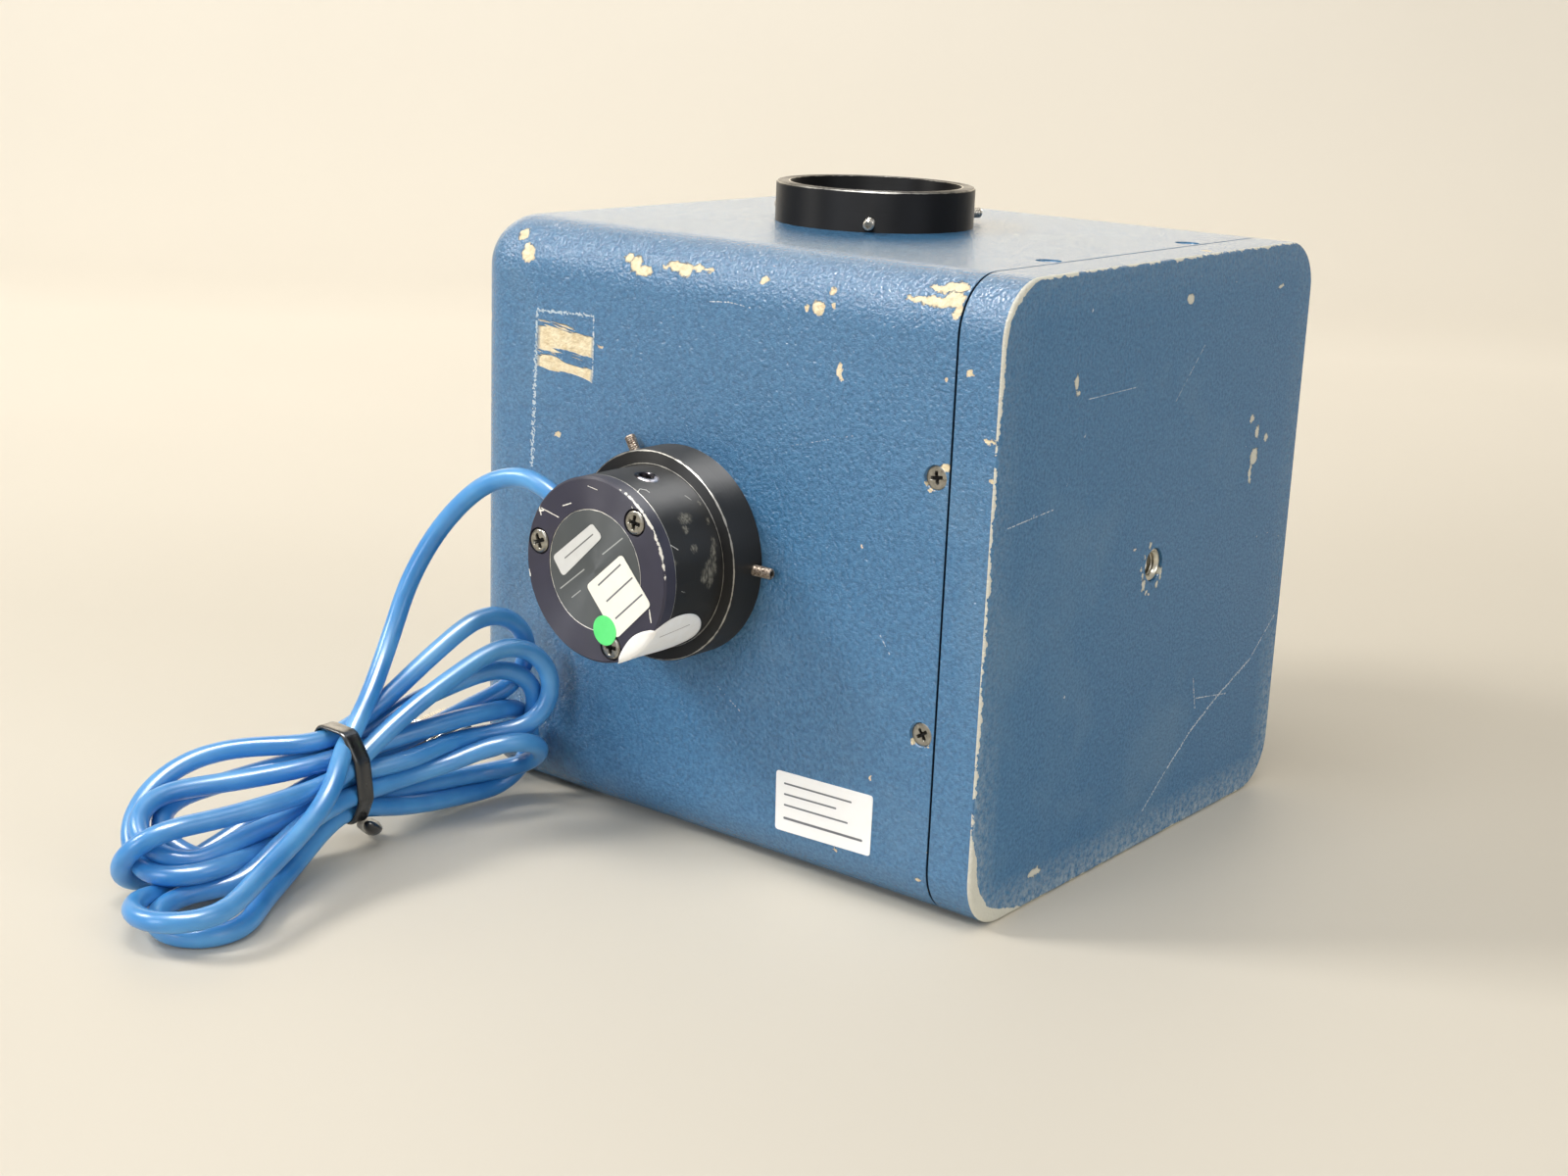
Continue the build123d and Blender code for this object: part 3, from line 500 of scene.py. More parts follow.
# Chips through the enamel, each a middle and three half sizes: on the rounded edges, on the flat front, and
# on the cover's face.
chips = [
    ((-62.7, -67.3, 139.1), (1.6, 2.0, 1.6)), ((-58.8, -69.8, 134.9), (2.2, 2.0, 2.2)),
    ((-60.0, -68.8, 136.8), (0.9, 1.5, 0.7)), ((-27.1, -68.6, 137.3), (1.3, 2.0, 1.1)),
    ((-24.4, -69.3, 136.1), (1.8, 2.0, 2.0)), ((-21.5, -69.9, 134.8), (2.6, 2.0, 1.2)),
    ((-12.5, -69.0, 136.9), (2.6, 2.0, 1.0)), ((-9.3, -69.0, 136.3), (2.0, 2.0, 1.7)),
    ((-5.9, -68.8, 137.0), (1.9, 2.0, 0.8)), ((-2.6, -68.9, 136.9), (1.2, 2.0, 0.4)),
    ((13.6, -69.1, 136.5), (1.2, 2.0, 0.6)), ((-15.4, -69.2, 136.3), (1.0, 2.0, 0.5)),
    ((32.7, -69.3, 136.1), (0.8, 2.0, 0.8)), ((29.8, -70.4, 132.4), (1.7, 1.5, 1.5)),
    ((26.6, -70.5, 131.9), (0.6, 3.0, 0.8)), ((33.9, -70.3, 133.3), (0.6, 1.5, 0.7)),
    ((59.5, -66.9, 139.6), (3.4, 2.5, 0.7)), ((62.8, -66.0, 140.3), (3.0, 2.0, 1.1)),
    ((60.0, -68.9, 137.0), (4.6, 2.0, 1.1)), ((63.6, -68.3, 137.9), (2.6, 2.2, 1.8)),
    ((54.0, -68.9, 137.0), (2.4, 2.0, 0.6)), ((65.3, -69.6, 135.6), (1.0, 1.5, 1.7)),
    ((-74.3, -67.0, 118.0), (1.4, 1.6, 1.8)), ((-74.3, -67.0, 97.4), (1.2, 1.4, 1.0)),
    ((-74.3, -67.0, 113.6), (0.9, 1.2, 0.8)), ((-74.3, -67.0, 65.0), (1.2, 1.4, 2.2)),
    ((-72.6, -66.2, 132.4), (1.4, 1.4, 1.6)), ((-74.3, -67.0, 56.0), (1.0, 1.2, 0.8)),
    ((60.7, -70.4, 98.9), (0.35, 1.5, 0.8)), ((61.7, -70.4, 97.5), (0.7, 1.5, 0.35)),
    ((60.9, -70.4, 41.2), (0.3, 1.5, 0.7)), ((64.6, -70.4, 41.0), (0.5, 1.5, 0.3)),
    ((74.0, 20.0, 143.2), (1.6, 1.2, 1.0)), ((40.0, 62.0, 142.0), (2.4, 1.4, 2.0)),
    ((-45.0, 66.5, 140.0), (2.8, 2.0, 1.6)), ((10.0, 70.5, 96.0), (1.2, 1.0, 1.8))]
chips += [((x, near_front, z), (wide, 3.0, high)) for x, z, wide, high in (
    (69.8, 123.5, 0.8, 0.5), (64.1, 121.4, 0.6, 0.5), (36.6, 119.6, 0.55, 1.6), (37.1, 118.3, 0.35, 1.2),
    (-47.6, 92.6, 1.1, 0.8), (-34.1, 115.8, 1.4, 0.35), (65.2, 102.8, 1.3, 1.0), (64.5, 101.2, 0.5, 0.9),
    (76.1, 110.1, 1.5, 0.45), (76.8, 102.0, 0.8, 0.5), (64.0, 9.3, 0.6, 0.5), (41.0, 10.2, 0.8, 0.5),
    (44.8, 82.1, 0.4, 0.5), (50.0, 30.0, 0.3, 0.4))]
chips += [((cover_x, y, z), (3.0, wide, high)) for y, z, wide, high in (
    (6.9, 133.5, 1.6, 1.1), (-41.1, 119.6, 0.8, 1.9), (-40.3, 116.8, 1.0, 0.6), (44.0, 100.9, 0.9, 1.0),
    (47.5, 97.2, 1.0, 1.4), (52.6, 95.2, 0.9, 1.2), (46.9, 91.0, 2.0, 2.0), (45.7, 86.6, 0.8, 2.6),
    (-2.4, 76.5, 0.5, 0.9), (-4.3, 74.4, 0.45, 0.6), (-5.7, 71.5, 0.3, 0.45), (-4.6, 69.6, 0.35, 0.6),
    (-4.1, 67.5, 0.8, 1.4), (-2.6, 65.5, 0.4, 0.45), (-1.4, 64.8, 0.35, 0.35), (2.2, 66.5, 0.75, 1.0),
    (3.6, 69.0, 0.5, 1.6), (-9.8, 76.8, 0.3, 0.3), (53.2, 132.8, 1.4, 0.5), (-44.0, 7.4, 2.6, 1.0))]

# Two square patches rubbed through in streaks: a middle, half sizes and a slope.
rubbed = [
    ((-45.5, near_front, 115.4), (8.9, 1.0, 3.0), -0.03),
    ((-45.6, near_front, 109.3), (8.9, 1.0, 1.6), -0.075)]

# Scratches that don't go through, each its two ends and its half width.
scratches = [((-27.4, -24.9, 143.3), (-16.3, -23.3, 143.3), 0.3)]
scratches += [((x, near_front, z), (end_x, near_front, end_z), half) for x, z, end_x, end_z, half in (
    (-54.6, 122.0, -36.3, 122.7, 0.48), (-36.3, 122.7, -36.4, 108.0, 0.34), (-54.9, 122.0, -55.2, 112.0, 0.5),
    (-55.2, 112.0, -56.3, 83.6, 0.72), (-0.6, 130.3, 5.0, 130.7, 0.2), (5.0, 130.7, 10.8, 130.2, 0.16),
    (50.6, 63.3, 53.5, 59.4, 0.14), (5.0, 41.0, 12.0, 36.5, 0.1), (20.0, 100.0, 41.0, 106.0, 0.07))]
scratches += [((cover_x, y, z), (cover_x, end_y, end_z), half) for y, z, end_y, end_z, half in (
    (67.7, 46.0, 55.8, 36.5, 0.24), (55.8, 36.5, 38.4, 29.9, 0.42), (38.4, 29.9, 26.6, 24.3, 0.44),
    (26.6, 24.3, 15.5, 16.8, 0.4), (15.5, 16.8, 4.7, 8.8, 0.28), (25.4, 38.0, 27.6, 29.8, 0.2),
    (27.7, 32.4, 43.7, 30.0, 0.2), (-65.2, 91.1, -47.0, 92.4, 0.15), (-36.0, 115.2, -14.9, 115.5, 0.12),
    (4.0, 110.0, 16.0, 122.0, 0.08))]


def spot_reach(tree, place, spots):
    """How far a place is from the middle of the nearest spot; 1 is that spot's edge."""
    nearest = None
    for middle, sizes in spots:
        stretch = [1 / (size * MM) for size in sizes]
        shift = [-part * MM * factor for part, factor in zip(middle, stretch)]
        local = add_node(tree, "VectorMath", [place, stretch, shift], operation="MULTIPLY_ADD")
        reach = add_node(tree, "VectorMath", [local], operation="LENGTH")
        nearest = reach if nearest is None else add_node(tree, "Math", [nearest, reach], operation="MINIMUM")
    return nearest


def line_reach(tree, place, lines):
    """How far a place is from the nearest line, in that line's half widths."""
    nearest = None
    for start, end, half_width in lines:
        start = Vector(start) * MM
        run = Vector(end) * MM - start
        off = add_node(tree, "VectorMath", [place, start], operation="SUBTRACT")
        share = add_node(tree, "VectorMath", [off, run / run.length_squared], operation="DOT_PRODUCT")
        share = add_node(tree, "Clamp", [share])
        on_line = add_node(tree, "VectorMath", {0: run, "Scale": share}, operation="SCALE")
        miss = add_node(tree, "VectorMath", [off, on_line], operation="DISTANCE")
        reach = add_node(tree, "Math", [miss, half_width * MM], operation="DIVIDE")
        nearest = reach if nearest is None else add_node(tree, "Math", [nearest, reach], operation="MINIMUM")
    return nearest


def ragged(tree, place, size, reach, detail, roughness):
    """The place shifted about by noise of that size and reach in millimetres, and the noise itself."""
    noise = add_node(tree, "TexNoise", {
        "Vector": place, "Scale": 1 / (size * MM), "Detail": detail, "Roughness": roughness})
    shift = add_node(tree, "VectorMath", [noise.outputs["Color"], (0.5, 0.5, 0.5)], operation="SUBTRACT")
    return add_node(tree, "VectorMath", [shift, (reach * MM,) * 3, place], operation="MULTIPLY_ADD"), noise


# Stoved enamel sprayed to an orange-peel texture: mid blue, satin, its bumps about a millimetre across.
# Where it has gone, the matt cream primer shows, and knocks leave pale lines that don't go through.
enamel, paint, enamel_shader, on_paint = start_material("sprayed_blue_texture_enamel", IOR=1.65)
ragged_place, ragged_noise = ragged(paint, on_paint, 2.0, 3.4, 5.0, 0.72)
nearest_chip = spot_reach(paint, ragged_place, chips)
streaks = add_node(paint, "VectorRotate", {"Vector": on_paint, "Angle": -0.16}, rotation_type="Y_AXIS")
streaks = add_node(paint, "VectorMath", [streaks, (0.12, 1.0, 1.0)], operation="MULTIPLY")
streak_noise = add_node(paint, "TexNoise", {"Vector": streaks, "Scale": 1 / (0.9 * MM), "Detail": 2.0})
streak_edge = add_node(paint, "MapRange", [streak_noise, 0.3, 0.7, -0.4, 0.45])
for (x, y, z), sizes, slope in rubbed:
    local = add_node(paint, "VectorMath", [on_paint, (x * MM, y * MM, z * MM)], operation="SUBTRACT")
    local = add_node(paint, "VectorRotate", {"Vector": local, "Angle": slope}, rotation_type="Y_AXIS")
    local = add_node(paint, "VectorMath", [local, [1 / (size * MM) for size in sizes]], operation="MULTIPLY")
    local = add_node(paint, "VectorMath", [local], operation="ABSOLUTE")
    across, through, up = add_node(paint, "SeparateXYZ", [local]).outputs
    patch = add_node(paint, "Math", [up, streak_edge], operation="ADD")
    patch = add_node(paint, "Math", [across, patch], operation="MAXIMUM")
    patch = add_node(paint, "Math", [patch, through], operation="MAXIMUM")
    nearest_chip = add_node(paint, "Math", [nearest_chip, patch], operation="MINIMUM")
chipped = add_node(paint, "MapRange", [nearest_chip, 0.92, 1.06, 1.0, 0.0])

# How far a place lies inside the outline that the body and the cover share, seen from the end.
paint_x, paint_y, paint_z = add_node(paint, "SeparateXYZ", [on_paint]).outputs
side_z = add_node(paint, "Math", [paint_z, middle_z * MM], operation="SUBTRACT")
past = []
for side, flat_reach in ((paint_y, -front_y - corner_radius), (side_z, middle_z - corner_radius)):
    side = add_node(paint, "Math", [side], operation="ABSOLUTE")
    side = add_node(paint, "Math", [side, flat_reach * MM], operation="SUBTRACT")
    past.append(add_node(paint, "Math", [side, 0.0], operation="MAXIMUM"))
past = add_node(paint, "VectorMath", [add_node(paint, "CombineXYZ", past)], operation="LENGTH")
inside = add_node(paint, "Math", [corner_radius * MM, past], operation="SUBTRACT")

# The enamel is worn through along the cover's face edge, most at its two front corners, and along the joint.
edge_noise = add_node(paint, "TexNoise", {
    "Vector": on_paint, "Scale": 1 / (5 * MM), "Detail": 5.0, "Roughness": 0.7})
edge_width = add_node(paint, "MapRange", [edge_noise, 0.38, 0.7, -0.1 * MM, 1.0 * MM])
edge_extra = []
for corner, near, far, extra in (((cover_x, -68.0, 2.0), 3, 22, 4.0), ((cover_x, -66.0, 139.0), 2, 20, 0.8)):
    off = add_node(paint, "VectorMath", [on_paint, [part * MM for part in corner]], operation="DISTANCE")
    edge_extra.append(add_node(paint, "MapRange", [off, near * MM, far * MM, extra * MM, 0.0]))
edge_extra = add_node(paint, "Math", edge_extra, operation="ADD")
edge_width = add_node(paint, "Math", [edge_width, edge_extra], operation="ADD")
edge_in = add_node(paint, "Math", [inside, edge_width], operation="LESS_THAN")
edge_back = add_node(paint, "Math", [paint_x, (cover_x - 0.75) * MM], operation="GREATER_THAN")
cover_rim = add_node(paint, "Math", [edge_in, edge_back], operation="MULTIPLY")
joint_off = add_node(paint, "Math", [paint_x, joint_x * MM], operation="SUBTRACT")
joint_off = add_node(paint, "Math", [joint_off], operation="ABSOLUTE")
joint_width = add_node(paint, "MapRange", [edge_noise, 0.6, 0.78, 0.0, 0.6 * MM])
joint_rim = add_node(paint, "Math", [joint_off, joint_width], operation="LESS_THAN")
bare = add_node(paint, "Math", [cover_rim, joint_rim], operation="MAXIMUM")

# Pinhead specks through to the primer, and finer pale ones.
specks = []
for place, cell_size, channel, largest in ((on_paint, 13, 0, 0.032), (ragged_place, 6, 1, 0.05)):
    cells = add_node(paint, "TexVoronoi", {"Vector": place, "Scale": 1 / (cell_size * MM)})
    kept = add_node(paint, "SeparateColor", [cells.outputs["Color"]]).outputs[channel]
    size = add_node(paint, "MapRange", [kept, 0.55, 1.0, 0.0, largest])
    specks.append(add_node(paint, "Math", [cells, size], operation="LESS_THAN"))
bare = add_node(paint, "Math", [bare, specks[0]], operation="MAXIMUM")
bare = add_node(paint, "Math", [bare, chipped], operation="MAXIMUM")
scratch_noise = add_node(paint, "TexNoise", {"Vector": on_paint, "Scale": 1 / (0.55 * MM), "Detail": 3.0})
scratch_break = add_node(paint, "MapRange", [scratch_noise, 0.36, 0.66, -0.25, 1.2])
pale = add_node(paint, "Math", [line_reach(paint, on_paint, scratches), scratch_break], operation="LESS_THAN")
pale = add_node(paint, "Math", [pale, specks[1]], operation="MAXIMUM")

# Rubbing has left a pale haze low on the cover's face and round its edge, broken up by the texture.
peel = add_node(paint, "TexNoise", {
    "Vector": on_paint, "Scale": 1 / (0.78 * MM), "Detail": 2.5, "Roughness": 0.55})
broad = add_node(paint, "TexNoise", {"Vector": on_paint, "Scale": 1 / (45 * MM), "Detail": 4.0})
haze_grain = add_node(paint, "TexNoise", {
    "Vector": on_paint, "Scale": 1 / (1.6 * MM), "Detail": 5.0, "Roughness": 0.75})
haze = add_node(paint, "MapRange", [inside, 0.0, 10 * MM, 0.62, 0.0])
end_face = add_node(paint, "Math", [paint_x, (cover_x - 0.3) * MM], operation="GREATER_THAN")
for share in (add_node(paint, "MapRange", [paint_z, 4 * MM, 55 * MM, 1.0, 0.2]), end_face,
              add_node(paint, "MapRange", [haze_grain, 0.38, 0.64])):
    haze = add_node(paint, "Math", [haze, share], operation="MULTIPLY")

# The primer is cream, and greyer where the cover's edge has worn; the joint itself is a dark gap.
primer = add_node(paint, "Mix", {
    0: add_node(paint, "MapRange", [ragged_noise, 0.35, 0.65]), 6: "#d6c096", 7: "#f0e3c2"}, data_type="RGBA")
primer = add_node(paint, "Mix", {0: edge_back, 6: primer, 7: "#d6d4c6"}, data_type="RGBA")
seam = add_node(paint, "Math", [joint_off, 0.26 * MM], operation="LESS_THAN")
enamel_tint = "#36668d"
# The peel's crests are painted lighter and its hollows darker, following the bump: painted highlight and
# shade.
for share, over in (
        (add_node(paint, "MapRange", [peel, 0.3, 0.7]), "#4a7fab"),
        (add_node(paint, "MapRange", [broad, 0.56, 0.8, 0.0, 0.3]), "#7f9aab"),
        (haze, "#c8d5d6"), (pale, "#b4c6d2"), (bare, primer), (seam, "#0f1a24")):
    enamel_tint = add_node(paint, "Mix", {0: share, 6: enamel_tint, 7: over}, data_type="RGBA")
enamel_gloss = add_node(paint, "MapRange", [broad, 0.3, 0.7, 0.16, 0.25])
enamel_height = add_node(paint, "Math", [peel, bare], operation="SUBTRACT")
enamel_shine = add_node(paint, "MapRange", {0: end_face, 3: 0.5, 4: 0.2})
feed(enamel_shader, {
    "Base Color": enamel_tint,
    "Roughness": add_node(paint, "Mix", {0: bare, 2: enamel_gloss, 3: 0.75}, data_type="FLOAT"),
    "Normal": add_node(paint, "Bump", {"Height": enamel_height, "Distance": 0.46 * MM, "Strength": 1.0}),
    "Specular IOR Level": add_node(paint, "MapRange", {0: seam, 3: enamel_shine, 4: 0.0})})
for name in ("housing_body", "end_cover"):
    wear(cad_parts[name], enamel)


# ---------------------------------------------------------------- cover screws and the sphere's screws
# Countersunk and socket screws of zinc-plated steel, cold-headed: grey with a faint yellow passivation, and
# painted shade deep in the cross recesses.
zinc = mottled(
    "passivated_zinc_plate", 1.2, "#55534e", "#bab6ab", 4.0, (0.18, 0.42), (0.03, 0.6), Metallic=1.0)
wear(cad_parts["sphere_screws"], zinc)

# Painted shade for the deep part of a driver recess: black and dull, with a little brown.
recess_painted_shade = mottled("painted_recess_shade", 0.4, "#0d0c0b", "#2a2622", 3.0, Roughness=0.7, IOR=1.45)


def cross_screws(name, screws, profile, wing, depth):
    """Cross-recessed screws, each with its head's middle, outward way and turn; profile is its side."""
    arm_half = 0.27 * wing
    side_slope, end_slope = 0.14, 0.25
    shallower = 0.55
    # Recess faces deeper than this take the painted recess shade.
    painted_shade_depth = 0.3 * depth
    build = bmesh.new()
    for middle, outward, angle in screws:
        run = Vector(outward).normalized()
        side = run.cross(Vector((0.37, 0.52, 0.77))).normalized()
        rise = run.cross(side)
        rings = []
        for radius, drop in profile:
            ring = []
            for turn in around(96):
                one = abs(radius * math.cos(turn + angle))
                two = abs(radius * math.sin(turn + angle))
                sink = 0.0
                for long, wide in ((one, two), (two, one)):
                    arm = min(1.0, max(0.0, (arm_half - wide) / side_slope))
                    arm *= min(1.0, max(0.0, (wing - long) / end_slope))
                    sink = max(sink, arm * depth * (1.0 - shallower * long / wing))
                place = Vector(middle) - run * (drop + sink)
                place += (side * math.cos(turn) + rise * math.sin(turn)) * radius
                ring.append((build.verts.new(place * MM), sink))
            rings.append(ring)
        for ring, following in zip(rings[:-1], rings[1:]):
            for step in range(len(ring)):
                after = (step + 1) % len(ring)
                corners = (ring[step], ring[after], following[after], following[step])
                face = build.faces.new([vertex for vertex, sink in corners])
                shallowest = min(ring[step][1], following[step][1], ring[after][1])
                face.material_index = int(shallowest > painted_shade_depth)
        build.faces.new([vertex for vertex, sink in rings[0]]).material_index = 1
        build.faces.new([vertex for vertex, sink in rings[-1]])
    made = finished(name, build, sharp=42)
    made.data.materials.append(zinc)
    made.data.materials.append(recess_painted_shade)
    return made


head_steps = [0.02 + 0.1 * step for step in range(21)]
cover_profile = [(radius, 0.0) for radius in head_steps] + [
    (2.3, 0.0), (2.55, 0.03), (2.66, 0.12), (2.6, 0.25), (1.42, 1.4), (1.42, 5.0)]
cover_screw_drop = 0.5
cover_screw_x = 62.9
cover_screw_side = -front_y - cover_screw_drop
cover_screw_top = 2 * middle_z - cover_screw_drop
cover_screw_places = []
for level, angle in ((43.05, 0.5), (100.25, 0.95)):
    cover_screw_places.append(((cover_screw_x, -cover_screw_side, level), (0.0, -1.0, 0.0), angle))
    cover_screw_places.append(((cover_screw_x, cover_screw_side, level), (0.0, 1.0, 0.0), angle + 0.4))
for across, angle in ((-31.3, 0.2), (31.3, 0.7)):
    cover_screw_places.append(((cover_screw_x, across, cover_screw_top), (0.0, 0.0, 1.0), angle))
    cover_screw_places.append(((cover_screw_x, across, cover_screw_drop), (0.0, 0.0, -1.0), angle + 0.3))
cover_screws = cross_screws("cross_cover_screws", cover_screw_places, cover_profile, 1.5, 1.3)
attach(cover_screws, "housing")
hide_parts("cover_screws")

head_x = -7.7
head_z = 71.65
plate_profile = [(radius, 0.06 * radius**2 / 4) for radius in head_steps] + [
    (2.2, 0.08), (2.4, 0.13), (2.6, 0.25), (2.75, 0.45), (2.8, 0.7), (2.8, 1.7), (1.42, 1.75), (1.42, 7.5)]
plate_screw_circle = 17.6
plate_screw_top = -99.8
plate_screw_places = []
for degrees, angle in ((48.0, 1.25), (168.0, 0.75), (288.0, 1.1)):
    turn = math.radians(degrees)
    across = head_x + plate_screw_circle * math.cos(turn)
    up = head_z + plate_screw_circle * math.sin(turn)
    plate_screw_places.append(((across, plate_screw_top, up), (0.0, -1.0, 0.0), angle))
plate_screws = cross_screws("cross_plate_screws", plate_screw_places, plate_profile, 1.75, 1.5)
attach(plate_screws, "detector")
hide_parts("back_plate_screws")


# ---------------------------------------------------------------- threaded insert
# A quarter-inch threaded insert of turned stainless steel, pressed into the cover's boss. Its bore shows
# the thread as bright lines 1.27 mm apart.
stainless = mottled("turned_stainless_steel", 1.0, "#b5af9f", "#efe9da", 3.0, (0.22, 0.4), Metallic=1.0)
thread_pitch = 1.27
thread_depth = 0.55
thread_levels = 76
insert_bore = 3.15
insert_radius = 4.0
insert_face = cover_x - 0.6
insert_length = 9.5
insert_lip = 0.2
thread_flank = 1.9
thread_fade = 0.8
insert_rings = [[
    (insert_face + back, radius * math.cos(turn), middle_z + radius * math.sin(turn)) for turn in around(40)]
    for back, radius in ((-insert_length, 3.0), (-insert_length, insert_radius), (-0.3, insert_radius),
                         (0.0, insert_radius - 0.25), (0.0, insert_bore + 0.15))]
for level in range(thread_levels + 1):
    back = insert_lip + (insert_length - 2 * insert_lip) * level / thread_levels
    ring = []
    for turn in around(40):
        phase = (back / thread_pitch - turn / math.tau) % 1.0
        height = min(1.0, thread_flank * (1.0 - abs(2 * phase - 1.0)))
        radius = insert_bore - thread_depth * height * min(1.0, back / thread_fade)
        ring.append((insert_face - back, radius * math.cos(turn), middle_z + radius * math.sin(turn)))
    insert_rings.append(ring)
insert = skinned("threaded_insert", insert_rings, loop=True, sharp=35)
wear(insert, stainless)
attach(insert, "housing")
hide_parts("thread_insert")


# ---------------------------------------------------------------- sphere and baffle
# Two spun aluminium hemispheres and a small baffle, coated inside with many sprayed layers of barium
# sulphate: a dead matt white, fine as chalk, that scatters light evenly.
chalk = mottled(
    "sprayed_barium_sulphate", 0.6, "#e6e4dc", "#f6f5f0", 4.0, bump=(0.05, 0.8), Roughness=0.95, IOR=1.4)
for name in ("sphere_ported_half", "sphere_blank_half", "sphere_baffle"):
    wear(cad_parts[name], chalk)


# ---------------------------------------------------------------- port collars
# Two rings of turned aluminium, anodised black, one round the front port and one round the top port. The
# anodising is worn through to bright metal along their sharp rims.
collar_radius = 24.7
collar_bore = 21.3
front_collar_face = -80.25
top_collar_face = 153.0


def rubbed_rims(name, middle, axis, rims, dark, light, bare, turning, **shader_values):
    """Anodised metal that is bare near its rims, each a radius, a place along the axis and a width."""
    made, tree, shader, place = start_material(name, IOR=1.5, Anisotropic=0.85, **shader_values)
    off = add_node(tree, "VectorMath", [place, Vector(middle) * MM], operation="SUBTRACT")
    along_axis = add_node(tree, "VectorMath", [off, axis], operation="DOT_PRODUCT")
    flat = add_node(tree, "VectorMath", [off, [1.0 - abs(part) for part in axis]], operation="MULTIPLY")
    radius = add_node(tree, "VectorMath", [flat], operation="LENGTH")
    ring_place = add_node(tree, "CombineXYZ", [radius, along_axis])
    jags = add_node(tree, "TexNoise", {"Vector": place, "Scale": 1 / (2.2 * MM), "Detail": 5.0})
    width = add_node(tree, "MapRange", [jags, 0.3, 0.7, 0.35, 1.5])
    worn = None
    for rim_radius, rim_place, rim_width in rims:
        rim = (rim_radius * MM, rim_place * MM, 0.0)
        miss = add_node(tree, "VectorMath", [ring_place, rim], operation="DISTANCE")
        near = add_node(tree, "Math", [width, rim_width * MM], operation="MULTIPLY")
        hit = add_node(tree, "Math", [miss, near], operation="LESS_THAN")
        worn = hit if worn is None else add_node(tree, "Math", [worn, hit], operation="MAXIMUM")
    stretch = (1 / (turning * MM), 1 / (turning * MM), 0.0)
    rings = add_node(tree, "VectorMath", [ring_place, stretch], operation="MULTIPLY")
    ring_noise = add_node(tree, "TexNoise", {"Vector": rings, "Scale": 1.0, "Detail": 2.0})
    cloudy = add_node(tree, "TexNoise", {"Vector": place, "Scale": 1 / (7 * MM), "Detail": 4.0})
    shade = add_node(tree, "Mix", {0: cloudy, 6: dark, 7: light}, data_type="RGBA")
    tint = add_node(tree, "Mix", {0: worn, 6: shade, 7: bare}, data_type="RGBA")
    round_way = add_node(tree, "VectorMath", [off, axis], operation="CROSS_PRODUCT")
    facing = add_node(tree, "NewGeometry").outputs["Normal"]
    feed(shader, {
        "Base Color": tint,
        "Roughness": add_node(tree, "MapRange", {0: cloudy, 3: 0.4, 4: 0.62}),
        "Metallic": worn,
        "Normal": add_node(tree, "Bump", {"Height": ring_noise, "Distance": 0.03 * MM, "Strength": 0.6}),
        "Tangent": add_node(tree, "VectorMath", [facing, round_way], operation="CROSS_PRODUCT")})
    return made, tree, shader, place, tint, ring_place


# Sulphuric anodising dyed black over fine turning: near black with a satin gloss, grey where the light
# skims it.
wear(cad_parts["front_collar"], rubbed_rims(
    "turned_black_anodise_front", (head_x, front_collar_face, head_z), (0.0, -1.0, 0.0),
    [(collar_radius - 0.2, -0.1, 0.2), (collar_bore + 0.2, 0.0, 0.12)],
    "#0c0c0d", "#19191a", "#a7a59f", 0.35)[0])
# The top collar takes a darker, less shiny copy of the same anodise: painted shade.
wear(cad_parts["top_collar"], rubbed_rims(
    "turned_black_anodise_top_shaded", (head_x, 0.0, top_collar_face), (0.0, 0.0, 1.0),
    [(collar_radius - 0.2, -0.1, 0.2), (collar_bore + 0.2, 0.0, 0.2)],
    "#08080a", "#131316", "#8f8d88", 0.35, Specular_IOR_Level=0.22)[0])


# ---------------------------------------------------------------- set screws
# Six long socket set screws with M3 threads that stand far out of the collars. They are made here with
# their turns, because the thread shows; the steel is black oxide gone brown, and the top ones are brighter.
thread_crest = 1.3
thread_root = 1.02
thread_step = 0.5
thread_start = 0.37
thread_slope = 2.6
thread_end = 0.12
run_in = 0.5
run_out = 0.35
screw_tip_radius = 21.3
screw_point = 0.75
screw_chamfer = 0.98
socket_flat = 0.64
socket_depth = 2.2
around_screw = 24
along_screw = 8


def threaded_screw(name, middle, outward, screw_length):
    """A threaded stud with a hexagon socket, its tip at the collar's bore and its head away from it."""
    run = Vector(outward).normalized()
    side = run.cross(Vector((0.3, 0.9, 0.4))).normalized()
    rise = run.cross(side)
    turns = around(around_screw)
    levels = int(screw_length / thread_step * along_screw)
    outlines = [(0.0, [screw_point] * around_screw)]
    for level in range(levels + 1):
        distance = thread_end + (screw_length - 2 * thread_end) * level / levels
        fade = min(1.0, distance / run_in, (screw_length - distance) / run_out)
        radii = []
        for turn in turns:
            phase = (distance / thread_step - turn / math.tau + thread_start) % 1.0
            height = min(1.0, thread_slope * (1.0 - abs(2 * phase - 1.0)))
            radii.append(thread_root + (thread_crest - thread_root) * height * fade)
        outlines.append((distance, radii))
    hexagon = [socket_flat / math.cos((turn + math.pi / 6) % (math.pi / 3) - math.pi / 6) for turn in turns]
    outlines += [(screw_length, [screw_chamfer] * around_screw), (screw_length, hexagon),
                 (screw_length - socket_depth, hexagon)]
    return skinned(name, [[
        Vector(middle) + run * (screw_tip_radius + distance)
        + (side * math.cos(turn) + rise * math.sin(turn)) * radius for turn, radius in zip(turns, radii)]
        for distance, radii in outlines], ends=(0, -1), sharp=38)


